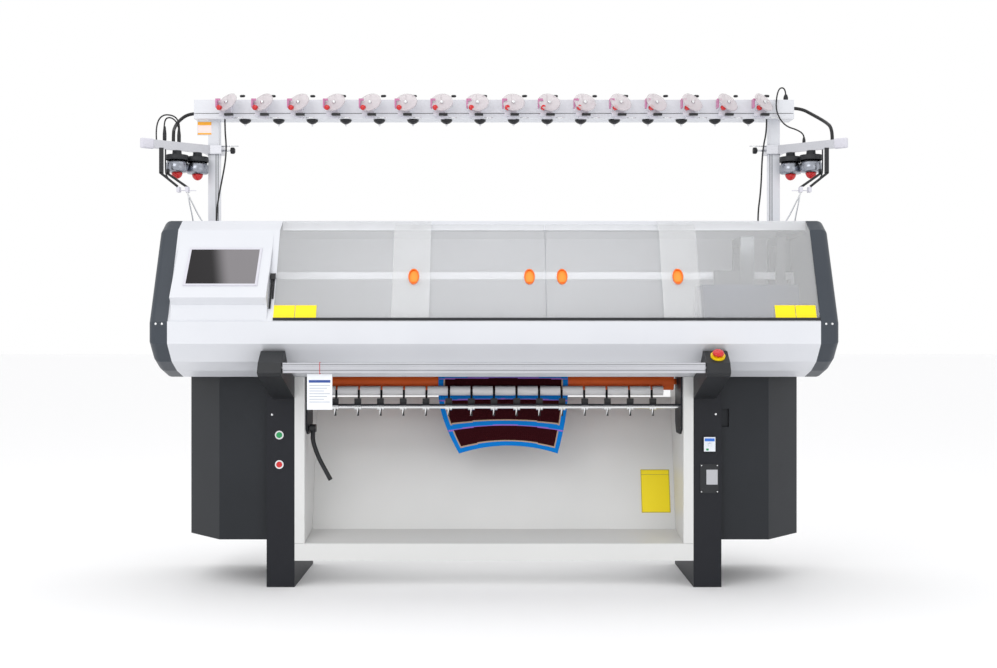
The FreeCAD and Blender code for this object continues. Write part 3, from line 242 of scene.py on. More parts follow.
def tilt_x(angle):
    """Turn about X by an angle in radians."""
    c, s = math.cos(angle), math.sin(angle)
    return np.array([[1, 0, 0], [0, c, -s], [0, s, c]])


def tilt_y(angle):
    """Turn about Y by an angle in radians."""
    c, s = math.cos(angle), math.sin(angle)
    return np.array([[c, 0, s], [0, 1, 0], [-s, 0, c]])


def tilt_z(angle):
    """Turn about Z by an angle in radians."""
    c, s = math.cos(angle), math.sin(angle)
    return np.array([[c, -s, 0], [s, c, 0], [0, 0, 1]])


def soften(piece, width_mm, segments=2):
    """Rounded edges, as a moulding or a folded sheet has."""
    bevel = piece.modifiers.new("soft edges", "BEVEL")
    bevel.width = width_mm * MM
    bevel.segments = segments
    bevel.limit_method = "ANGLE"
    bevel.harden_normals = False
    return piece


def outward(piece):
    """Recalculates normals on a closed piece whose making may have turned it inside out."""
    work = bmesh.new()
    work.from_mesh(piece.data)
    bmesh.ops.remove_doubles(work, verts=work.verts, dist=1e-6)
    bmesh.ops.recalc_face_normals(work, faces=work.faces)
    work.to_mesh(piece.data)
    work.free()
    return piece


def dress(material, *nodes):
    """Gives frame nodes their finish."""
    for name in nodes:
        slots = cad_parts[name].data.materials
        slots.clear()
        slots.append(bpy.data.materials[material])


# ---------------------------------------------------------------- settings

def length_prop(name, description, default):
    """A length that a user may change."""
    return bpy.props.FloatProperty(name=name, description=description, default=default,
                                   min=0.0001, unit="LENGTH", subtype="DISTANCE")


def colour_prop(name, description, code):
    """A colour that a user may change, kept linear."""
    return bpy.props.FloatVectorProperty(name=name, description=description,
                                         default=tint(code)[:3], **COLOUR)


class KNIT_PG_fabric(bpy.types.PropertyGroup):
    """Sizes and yarns of the fabric on the take-down."""
    stitch: length_prop("Stitch", "Spacing of the loops as drawn", 10 * MM)
    border: length_prop("Border", "Width of the blue border", 13 * MM)
    ground: colour_prop("Ground", "Yarn of the dark panels", "#2e0208")
    edge: colour_prop("Edge", "Yarn of the borders", "#0878cc")


class KNIT_PG_stand(bpy.types.PropertyGroup):
    """Sizes of the pieces on the yarn stand."""
    disc: length_prop("Disc", "Radius of a tension disc", 47.04 * MM)
    funnel: length_prop("Funnel", "Radius of a funnel's mouth", 24.5 * MM)
    plug: length_prop("Plug", "Length of a lead's connector", 22 * MM)


class KNIT_PG_doors(bpy.types.PropertyGroup):
    """Size of the pulls on the sliding doors."""
    pull_rise: length_prop("Pull half height", "Half the height of an oval pull", 33.5 * MM)
    pull_half: length_prop("Pull half width", "Half the width of an oval pull", 21 * MM)


# ---------------------------------------------------------------- materials

def make_metals():
    """Bare metals: an extruded rail, a ground bed and bright plating."""
    # Anodised aluminium, extruded: pale, soft gloss, faint lines along its length
    drawn_metal("anodised aluminium, extruded", "#c4c5cb", "#cccdd2", 0.34, (0.02, 1, 1), 1.6)
    # Ground steel of the beds: greyer, with lines along the bed
    drawn_metal("ground steel", "#9a9ca0", "#b4b6ba", 0.3)
    # Bright nickel plate on rods and drums: clear reflections
    drawn_metal("nickel plate, polished", "#d6d7da", "#eceded", 0.14)
    # Machined casting: dark, open and dull
    drawn_metal("cast iron, machined", "#55585b", "#6b6e71", 0.5, (1, 1, 1), 2.0)
    # Spun aluminium of the feeder drums, turned round their axis
    drawn_metal("spun aluminium", "#8f939c", "#a9adb6", 0.26, (1, 1, 0.02))


def make_paints():
    """Sprayed and powder-coated steel."""
    # Powder coat on the legs: near black with a blue cast
    painted("powder coat, anthracite", "#15171d", "#1b1d24", 0.5, Specular_IOR_Level=0.3)
    # Powder coat on the cabinets: dark grey
    painted("powder coat, graphite", "#1f2226", "#272a2f", 0.55,
            Specular_IOR_Level=0.3)
    # Satin paint on the end caps: slate
    painted("satin paint, slate", "#343a42", "#40464e", 0.42, Specular_IOR_Level=0.35)
    # White satin enamel of the covers: cool white, low sheen
    painted("satin enamel, white", "#d6d8de", "#dfe1e6", 0.34)
    # White enamel of the tray and apron, a shade warmer
    painted("satin enamel, tray white", "#dadbda", "#e2e2e1", 0.45)
    # Blue-grey enamel of the cam boxes
    painted("satin enamel, blue grey", "#26304a", "#303c5a", 0.4)


RIB_SPACING = 5.236 * MM


def make_plastics():
    """Moulded plastics and rubbers."""
    # Textured ABS of brackets and housings: deep grey, never quite black
    moulded("ABS, textured black", "#1b1d20", "#25272b", 0.5)
    # Satin ABS of knobs, boots, hooks and connectors: black with a soft edge to its highlights
    moulded("ABS, satin black", "#101114", "#1a1b1f", 0.35)
    # Housings, the arms' ends and the screen's frame: cool pale grey
    moulded("ABS, pale lilac grey", "#cdccd6", "#d8d7df", 0.4)
    # Stop head, cups and knobs: saturated red under a clear wet gloss
    moulded("ABS, gloss red", "#c00d10", "#d3191b", 0.22, Coat_Weight=0.4)
    # Start button and the breaker's window: green under the same gloss
    moulded("ABS, gloss green", "#0c8a4a", "#179c59", 0.25, Coat_Weight=0.4)
    # Ring round the emergency stop: flat bright yellow
    moulded("ABS, yellow", "#f4cf06", "#fbdc1a", 0.32)
    # Door pulls: orange rims, and dishes with a painted highlight, paler where light would pool in
    # them
    moulded("ABS, orange", "#f26a06", "#f57a14", 0.32)
    moulded("ABS, orange, lit dish", "#ff9a2e", "#ffa844", 0.32)
    # Controller brackets: dusty magenta
    moulded("ABS, magenta", "#b9709a", "#c783a8", 0.35)
    # Funnel tips: milky white, slightly waxy
    moulded("nylon, white", "#e9e8ec", "#f3f2f5", 0.4)
    # Breaker: bluish white face and a blue stripe
    moulded("ABS, breaker white", "#e4eaf3", "#eef2f8", 0.3)
    moulded("ABS, breaker blue", "#2f6fd0", "#3a7adb", 0.3)
    # Silicone-coated take-down roller: burnt orange, finely ribbed along its length
    roller = moulded("silicone rubber, orange", "#d6540c", "#e2621a", 0.6)
    tree = roller.node_tree
    # Ribs 5 mm apart, as bands along Z, so they run along the roller
    waves = add_node(tree, "ShaderNodeTexWave", {"Vector": place_in(tree)},
                     bands_direction="Z",
                     sockets={"Scale": bands(RIB_SPACING), "Distortion": 0.4})
    relief = add_node(tree, "ShaderNodeBump", {"Height": waves.outputs["Fac"]},
                      sockets={"Strength": 0.4, "Distance": 0.5 * MM})
    tree.links.new(relief.outputs[0], tree.nodes["Principled BSDF"].inputs["Normal"])
    # Press rollers: chalky off-white rubber
    moulded("natural rubber, white", "#dcdbdd", "#e8e7e9", 0.5)
    # Hoses, cables and leads: black with a dull plastic sheen
    moulded("PVC jacket, black", "#0c0c0e", "#151518", 0.42, 0.6)
    # Toothed belt behind the carriage: matt black
    moulded("neoprene belt", "#141414", "#1d1d1d", 0.6)


def make_clears():
    """See-through and glossy sheets."""
    # Pale acrylic sheet of the doors: milky, and more so where two overlap, with a clear gloss
    stuff, tree, shader = new_material("acrylic sheet, frosted", "#eceef2", 0.12, ior=1.49,
                                       Alpha=0.24)
    add_mottle(tree, shader, "#f0f1f3", "#f8f9fa", 400)
    add_grain(tree, shader, 6.0, 0.002, 0.1, 0.18)
    # Clear polycarbonate discs of the yarn controllers: a faint pink grey
    stuff, tree, shader = new_material("polycarbonate, clear pink grey", "#d8cfd2", 0.18, ior=1.58,
                                       Alpha=0.62)
    add_mottle(tree, shader, "#cfc6ca", "#ded7da", 30)
    # Display glass: near black, with a painted reflection: a paler glare painted across its right
    # side
    stuff, tree, shader = new_material("display glass", "#2a262a", 0.22, ior=1.52,
                                       Specular_IOR_Level=0.3)
    mapped = add_node(tree, "ShaderNodeMapping", {"Vector": place_in(tree)},
                      sockets={"Location": (10.62, 0, 0), "Rotation": (0, 0.245, 0),
                               "Scale": (14, 14, 14)})
    painted_glare = add_node(tree, "ShaderNodeTexGradient", {"Vector": mapped.outputs[0]},
                     gradient_type="EASING")
    mix = add_node(tree, "ShaderNodeMix", {"Factor": painted_glare.outputs["Fac"]}, data_type="RGBA")
    mix.inputs["A"].default_value = tint("#141114")
    mix.inputs["B"].default_value = tint("#7c797c")
    tree.links.new(mix.outputs["Result"], shader.inputs["Base Color"])


def make_prints():
    """Paper, labels and yarn."""
    # Coated card: white with a little tooth
    stuff, tree, shader = new_material("coated card", "#eef1f6", 0.5, ior=1.45)
    add_mottle(tree, shader, "#e9edf3", "#f6f8fb", 40)
    # Inks, printed vinyl and string: flat colours with a fine tooth
    for name, code in (("card print, blue", "#2f4f9a"), ("card print, grey", "#b9bec8"),
                       ("label vinyl, yellow", "#ffe600"), ("label vinyl, amber", "#ffb12a"),
                       ("label vinyl, blush", "#fde9e4"), ("label vinyl, silver", "#b9babf"),
                       ("label vinyl, pencil", "#8b8440"), ("cotton string, red", "#c8232c")):
        stuff, tree, shader = new_material(name, code, 0.45, ior=1.46)
        add_grain(tree, shader, 1.5, 0.01, 0.36, 0.52)
    make_yarn()


def make_yarn():
    """Knitted wool: the face attribute 'yarn' picks one of four colours, and crossed waves along
    the cloth's own U and V, which are in centimetres, raise a loop every stitch. Real loops are
    about 2 mm apart, too fine to show, so they are drawn coarser."""
    stuff, tree, shader = new_material("wool jersey, knitted", "#240208", 0.9, ior=1.5,
                                       Sheen_Weight=0.03, Specular_IOR_Level=0.12)
    chosen = add_node(tree, "ShaderNodeAttribute", attribute_name="yarn")
    ramp = add_node(tree, "ShaderNodeValToRGB", {"Fac": chosen.outputs["Fac"]})
    ramp.color_ramp.interpolation = "CONSTANT"
    stops = ramp.color_ramp.elements
    settings = bpy.context.scene.knit_fabric
    stops[0].color = (*settings.ground, 1)
    stops[1].position = 0.2
    stops[1].color = (*settings.edge, 1)
    for position, code in ((0.5, "#9a6cc4"), (0.8, "#b39a86")):
        stops.new(position).color = tint(code)
    tree.links.new(ramp.outputs["Color"], shader.inputs["Base Color"])
    cloth = add_node(tree, "ShaderNodeUVMap", uv_map="cloth")
    heights = []
    for direction in ("X", "Y"):
        wave = add_node(tree, "ShaderNodeTexWave", {"Vector": cloth.outputs[0]},
                        bands_direction=direction,
                        sockets={"Scale": bands(settings.stitch / (10 * MM))})
        heights.append(wave.outputs["Fac"])
    loops = add_node(tree, "ShaderNodeMath", operation="MULTIPLY")
    for socket, height in zip(loops.inputs, heights):
        tree.links.new(height, socket)
    relief = add_node(tree, "ShaderNodeBump", {"Height": loops.outputs[0]},
                      sockets={"Strength": 0.8, "Distance": 1.0 * MM})
    tree.links.new(relief.outputs[0], shader.inputs["Normal"])


class KNIT_OT_materials(bpy.types.Operator):
    """Make the finishes and give the frame's nodes theirs."""
    bl_idname = "knit.materials"
    bl_label = "Materials"

    def execute(self, context):
        make_metals()
        make_paints()
        make_plastics()
        make_clears()
        make_prints()
        finishes = {
            "powder coat, anthracite": ("left_leg", "right_leg", "takedown_plates"),
            "powder coat, graphite": ("cabinets",),
            "satin paint, slate": ("end_caps",),
            "satin enamel, white": ("front_cover", "rear_cover", "control_cover", "yarn_rails",
                                    "stand_posts", "stand_rail"),
            "satin enamel, tray white": ("catch_tray", "side_liners"),
            "satin enamel, blue grey": ("carriage",),
            "cast iron, machined": ("bed_beam", "belt_mounts"),
            "ground steel": ("front_needle_bed", "rear_needle_bed", "carriage_rails"),
            "nickel plate, polished": ("press_shaft", "button_bezels"),
            "anodised aluminium, extruded": ("start_bar", "side_arms", "drive_pulley",
                                             "idler_pulley"),
            "spun aluminium": ("feeder_drum_1", "feeder_drum_2", "feeder_drum_3",
                               "feeder_drum_4"),
            "ABS, textured black": ("start_bar_brackets", "door_tracks", "feeder_housings",
                                    "breaker_body", "rating_plate"),
            "ABS, satin black": ("release_lever", "stylus", "yarn_carrier_1", "yarn_carrier_2"),
            "ABS, pale lilac grey": ("screen_bezel", "yarn_controllers"),
            "display glass": ("screen_glass",),
            "neoprene belt": ("drive_belt",),
            "silicone rubber, orange": ("takedown_roller",),
            "natural rubber, white": ("press_rollers",),
            "ABS, yellow": ("stop_ring",),
            "ABS, gloss red": ("stop_mushroom", "stop_button"),
            "ABS, gloss green": ("start_button",),
            "ABS, breaker white": ("breaker_toggle",),
            "PVC jacket, black": ("controller_leads", "left_hose", "left_cable", "right_hose",
                                  "right_cable"),
            "coated card": ("hanging_card",),
            "wool jersey, knitted": ("knitted_fabric",),
            "acrylic sheet, frosted": ("outer_left_door", "inner_left_door",
                                       "inner_right_door", "outer_right_door"),
        }
        for material, nodes in finishes.items():
            dress(material, *nodes)
        return {"FINISHED"}


# ---------------------------------------------------------------- finishes by region

def part_finish(node, material, choose):
    """Gives the faces of a frame node that choose picks, from their centres, a second finish."""
    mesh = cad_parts[node].data
    centres = np.empty(len(mesh.polygons) * 3, np.float32)
    mesh.polygons.foreach_get("center", centres)
    index = np.empty(len(mesh.polygons), np.int32)
    mesh.polygons.foreach_get("material_index", index)
    mesh.materials.append(bpy.data.materials[material])
    index[choose(*centres.reshape(-1, 3).T)] = len(mesh.materials) - 1
    mesh.polygons.foreach_set("material_index", index)
    mesh.update()


PULLS = {"outer_left_door": -314, "inner_left_door": 139, "inner_right_door": 267,
         "outer_right_door": 719}
PULL_HEIGHT = 1249


class KNIT_OT_regions(bpy.types.Operator):
    """Finish the pulls, feeder cups, rails, press hooks and the card's string within their
    nodes. A pull is the inside of an ellipse, its dish a painted highlight, and the rest lie above
    or below a height. Below the bar the press hooks are black as painted shade."""
    bl_idname = "knit.regions"
    bl_label = "Finishes by region"

    def execute(self, context):
        doors = context.scene.knit_doors
        across, up = doors.pull_half + MM, doors.pull_rise + MM
        for node, middle in PULLS.items():
            # The inner, paler oval of each pull is a painted highlight, for light pooling in its
            # dish
            for material, reach in (("ABS, orange", 1.0), ("ABS, orange, lit dish", 0.4)):
                part_finish(node, material, lambda x, y, z: (
                    ((x - middle * MM) / across) ** 2
                    + ((z - PULL_HEIGHT * MM) / up) ** 2 < reach))
        part_finish("feeder_housings", "ABS, gloss red", lambda x, y, z: (
            (z < 1697 * MM) & (z > 1664 * MM) & (abs(x) < 1345 * MM)))
        part_finish("door_tracks", "satin enamel, white", lambda x, y, z: z > 1.4)
        part_finish("carriage", "cast iron, machined", lambda x, y, z: z > 1226 * MM)
        part_finish("press_shaft", "ABS, satin black", lambda x, y, z: z > 738.2 * MM)
        # Press hooks below the bar are grey metal; textured black there is painted shade, for the
        # shadow under the bar
        part_finish("press_shaft", "ABS, textured black", lambda x, y, z: z < 711 * MM)
        part_finish("hanging_card", "cotton string, red", lambda x, y, z: z > 871.2 * MM)
        return {"FINISHED"}


# ---------------------------------------------------------------- cords

def line_through(name, points, radius, material, node, body="root"):
    """Open NURBS spline of order 3 that starts and ends at its end points."""
    curve = bpy.data.curves.new(name, "CURVE")
    curve.dimensions = "3D"
    curve.bevel_depth = radius
    curve.bevel_resolution = 5
    spline = curve.splines.new("NURBS")
    spline.points.add(len(points) - 1)
    spline.points.foreach_set("co", np.insert(np.asarray(points) * MM, 3, 1, axis=1).ravel())
    spline.order_u = 3
    spline.use_endpoint_u = True
    spline.resolution_u = 12
    curve.materials.append(bpy.data.materials[material])
    piece = bpy.data.objects.new(name, curve)
    bpy.context.scene.collection.objects.link(piece)
    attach(piece, body)
    if node:
        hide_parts(node)
    return piece


ROUTES = {
    "left_hose": (7, 241, [(-1268, 185, 1962), (-1302, 185, 1962), (-1337, 152, 1926),
                           (-1343, 100, 1886), (-1335, 55, 1858), (-1335, 55, 1824)]),
    "left_cable": (3.5, 458, [(-1140, 150, 1933), (-1140, 150, 1885), (-1133, 147, 1815),
                              (-1138, 146, 1748), (-1151, 147, 1680), (-1165, 148, 1610),
                              (-1176, 152, 1543), (-1176, 152, 1479)]),
    "right_hose": (7, 317, [(1268, 185, 1985), (1308, 185, 1985), (1352, 140, 1948),
                            (1386, 72, 1908), (1395, 3.5, 1872), (1395, 3.5, 1824)]),
    "right_cable": (3.5, 456, [(1155, 150, 1933), (1155, 150, 1883), (1140, 147, 1815),
                               (1134, 146, 1745), (1132, 147, 1672), (1127, 149, 1603),
                               (1119, 153, 1540), (1119, 153, 1479)]),
}


class KNIT_OT_cords(bpy.types.Operator):
    """Lay the hoses and cables between the stand, the side arms and the head."""
    bl_idname = "knit.cords"
    bl_label = "Hoses and cables"

    def execute(self, context):
        for node, (radius, length, route) in ROUTES.items():
            piece = line_through(f"{node}_line", route, radius * MM, "PVC jacket, black", node)
        return {"FINISHED"}


# ---------------------------------------------------------------- stand

COUNT = 16                              # controllers, and funnels, along the rail
CONTROLLER_PITCH, FUNNEL_PITCH, FUNNEL_SHIFT = 149.5, 142.5, 12
DISC_YAW, DISC_LEAN = (-33, 40), -34    # degrees, from the left end's disc to the right end's
PLUG_YAW, PLUG_LEAN = (-70, 60, -55, 75), -84
FEEDERS = ((-1, 74), (-1, 168), (1, 74), (1, 168))      # side, and place out along the arm
DRUM_FOOT, RING_FOOT, CUP_TOP = 1701, 1748, 1696.5
CUP_RADIUS, CUP_DEPTH = 23, 26
ARM_YAW, ARM_MIDDLE, ARM_TOP, ARM_END = 40.6, 1806, 1823.5, 300
CLAMP_INNER, CLAMP_BACK = 1157, 195


def along_rail(pitch):
    """Places at one pitch, centred on the rail, in metres."""
    return (np.arange(COUNT) - (COUNT - 1) / 2) * pitch * MM


def arm_point(side, along, height):
    """The point some millimetres out along a side arm, at a height, in metres."""
    yaw = math.radians(ARM_YAW)
    return np.array([side * (1195 + along * math.cos(yaw)), 175 - along * math.sin(yaw),
                     height]) * MM


class KNIT_OT_stand(bpy.types.Operator):
    """Dress the yarn stand. Discs, knobs, cups and funnels are surfaces of revolution: a
    profile of (radius, height) carried round its axis."""
    bl_idname = "knit.stand"
    bl_label = "Yarn stand"

    def execute(self, context):
        stand = context.scene.knit_stand
        low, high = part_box("stand_rail")
        self.controllers(stand, low.y, high.z)
        self.funnels(stand, low.y, low.z)
        self.plugs(stand, low.y, high.z)
        groove = block((0, low.y, low.z), (-1262, -0.8, 21.5), (1262, 0.2, 23))
        outward(put("rail_groove", *groove, "root", "ABS, textured black", "black_plastic",
                    smooth=False))
        self.feeders()
        self.clamps()
        return {"FINISHED"}

    def controllers(self, stand, front, top):
        """Sixteen controllers on the rail's front. Each disc leans back and turns a little with
        its place along the rail."""
        disc, knob, bracket, housing, hub, clip, pin = [], [], [], [], [], [], []
        rim = stand.disc / MM
        wheel, wheel_faces = turned([(0, -4), (rim * 0.9, -4), (rim, -2.5), (rim, 2.5),
                                     (rim * 0.9, 4), (0, 4)], ORIGIN, "y")
        wheel = wheel @ tilt_x(math.radians(DISC_LEAN)).T
        cap, cap_faces = turned([(0, -15), (9, -15), (11, -12), (11, 0), (0, 0)], ORIGIN, "y", 20)
        yaws = np.radians(np.linspace(*DISC_YAW, COUNT))
        for x, yaw in zip(along_rail(CONTROLLER_PITCH), yaws):
            at, spin = (x, front, top), tilt_z(yaw)
            disc.append((aim(wheel, spin, spot(at, 6, -63, -22)), wheel_faces))
            knob.append((aim(cap, spin, spot(at, -20, -73, -47)), cap_faces))
            hub.append((aim(cap * 0.6, spin, spot(at, 6, -69, -22)), cap_faces))
            bracket.append(block(at, (-41, -75, -45), (-34, -37, -8)))
            bracket.append(block(at, (-34, -75, -17), (-20, -69, -8)))
            housing.append(block(at, (-17, -37, -83), (17, -0.5, -23)))
            housing.append(block(at, (-30, -47, -75), (22, -37, -55)))
            clip.append(block(at, (-6, -65, -77), (30, -47, -67)))
            pin.append(turned(rod(2, 36), spot(at, 34, -49, -85), "x", 10))
        for name, parts, material, slot, width in (
                ("controller_discs", disc, "polycarbonate, clear pink grey", "grey_bezel", 0),
                ("controller_knobs", knob, "ABS, gloss red", "red_plastic", 0),
                ("controller_hubs", hub, "nickel plate, polished", "bright_steel", 0),
                ("controller_brackets", bracket, "ABS, magenta", "red_plastic", 0.8),
                ("controller_boxes", housing, "ABS, pale lilac grey", "grey_bezel", 1.5),
                ("controller_clips", clip, "ABS, satin black", "black_plastic", 1.0),
                ("controller_pins", pin, "nickel plate, polished", "bright_steel", 0)):
            piece = outward(put(name, *join(parts), "root", material, slot, smooth=not width))
            if width:
                soften(piece, width)
        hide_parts("yarn_controllers")

    def funnels(self, stand, front, foot):
        """A shallow black bowl with a white tip at each place under the rail."""
        mouth = stand.funnel / MM
        bowls, tips = [], []
        for x in along_rail(FUNNEL_PITCH):
            at = (x, front, foot)
            bowls.append(turned([(0, 0), (mouth, 0), (mouth, -5), (mouth * 0.86, -10),
                                 (mouth * 0.56, -15), (5, -19), (0, -19)],
                                spot(at, FUNNEL_SHIFT, 30, -0.2), "z", 28))
            tips.append(turned([(0, 0), (4.5, 0), (3, -9), (0, -10)],
                               spot(at, FUNNEL_SHIFT, 30, -19), "z", 14))
        outward(put("funnels", *join(bowls), "root", "ABS, satin black", "black_plastic"))
        outward(put("funnel_tips", *join(tips), "root", "nylon, white", "white_paint"))

    def plugs(self, stand, front, top):
        """A connector on each controller's lead, lying over the rail's top."""
        long = stand.plug / MM
        plug, quads = turned([(0, 0), (4, 0), (5.5, 4), (5.5, 0.8 * long), (2.5, long),
                              (0, long)], ORIGIN, "z", 14)
        plug = plug @ tilt_x(math.radians(PLUG_LEAN)).T
        lying = []
        for x, yaw in zip(along_rail(CONTROLLER_PITCH), np.tile(PLUG_YAW, COUNT // 4)):
            place = spot((x, front, top), 45, 15, 17.5)
            lying.append((aim(plug, tilt_z(math.radians(yaw)), place), quads))
        outward(put("lead_plugs", *join(lying), "root", "ABS, satin black", "black_plastic"))

    def feeders(self):
        """Spun drums with their ribbed rings and cups under the side arms. A cup is a quarter
        of an ellipse carried round."""
        rings, cups = [], []
        angle = np.linspace(0, math.pi / 2, 10)
        bowl = np.vstack([np.stack([CUP_RADIUS * np.cos(angle), -CUP_DEPTH * np.sin(angle)], 1),
                          (0, -CUP_DEPTH)])
        for number, (side, along) in enumerate(FEEDERS, 1):
            drum = turned([(0, -3), (41, -3), (45.5, 3), (45.5, 33), (41, 36), (41, 46), (0, 46)],
                          arm_point(side, along, DRUM_FOOT), "z", 48)
            piece = outward(put(f"drum_shell_{number}", *drum, f"feeder_drum_{number}",
                                "spun aluminium", "bright_steel"))
            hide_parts(f"feeder_drum_{number}")
            rings.append(turned([(0, 0), (45, 0), (46, 2), (46, 20), (20, 24), (18, 39.5),
                                 (0, 39.5)], arm_point(side, along, RING_FOOT), "z", 48))
            cups.append(turned(bowl, arm_point(side, along, CUP_TOP), "z", 32))
            lid = [(0, 0), (CUP_RADIUS, 0)]
            cups.append(turned(lid, arm_point(side, along, CUP_TOP), "z", 32))
        outward(put("feeder_rings", *join(rings), "root", "ABS, textured black", "black_plastic"))
        outward(put("feeder_cups", *join(cups), "root", "ABS, gloss red", "red_plastic"))

    def clamps(self):
        """Rounded ends of the side arms, and the clamps' shafts and knobs at their roots."""
        ends, knobs, shafts = [], [], []
        for side in (-1, 1):
            heading = math.radians(-ARM_YAW if side > 0 else 180 + ARM_YAW)
            end, quads = block(ORIGIN, (-26, -11, -21), (30, 11, 21))
            ends.append((aim(end, tilt_z(heading), arm_point(side, ARM_END, ARM_MIDDLE)), quads))
            inner = side * CLAMP_INNER
            knobs.append(turned([(0, 0), (13, 0), (14, 4), (14, 14), (9, 18), (0, 18)],
                                spot(ORIGIN, inner - side * 42 - 9, CLAMP_BACK, ARM_MIDDLE),
                                "x", 24))
            for radius, length, back, up in ((4.5, 46, CLAMP_BACK, 0), (2.5, 70, 172, 15.5)):
                start = inner - (length if side > 0 else 0)
                shafts.append(turned(rod(radius, length),
                                     spot(ORIGIN, start, back, ARM_MIDDLE + up), "x",
                                     16 if length < 50 else 12))
        outward(put("clamp_shafts", *join(shafts), "root", "nickel plate, polished",
                    "bright_steel"))
        outward(put("clamp_knobs", *join(knobs), "root", "ABS, satin black", "black_plastic"))
        soften(outward(put("arm_ends", *join(ends), "root", "ABS, pale lilac grey", "grey_bezel")),
               6, 4)


# ---------------------------------------------------------------- controls

STOP_X, STOP_LEAN = 854, 34
CARD_FACE, CARD_ROW = -417.1, 10.5
HOOKS = ((1365.5, -22, 1788, 1682, 1298, 1628, 9), (1345, 6, 1704, 1684, 1262, 1626, 6))
GUIDES = (1298, 1262)
LEAD_RADIUS, WIRE_RADIUS = 3, 3.2
LEFT_LEADS = (
    ("outer", -3.4, 219, ((262, 1824), (266, 1878), (240, 1930), (186, 1934), (160, 1910),
                          (159, 1883))),
    ("inner", 3.4, 115, ((224, 1883), (223, 1914), (197, 1926), (167, 1910), (159, 1883))))
WIRES = {"upright": [(1251, 60, 1478.5), (1254, 40, 1520), (1259, 10, 1568), (1262, -4, 1607)],
         "slanted": [(1208, 66, 1478.5), (1226, 48, 1510), (1250, 12, 1572), (1264, -6, 1607)]}


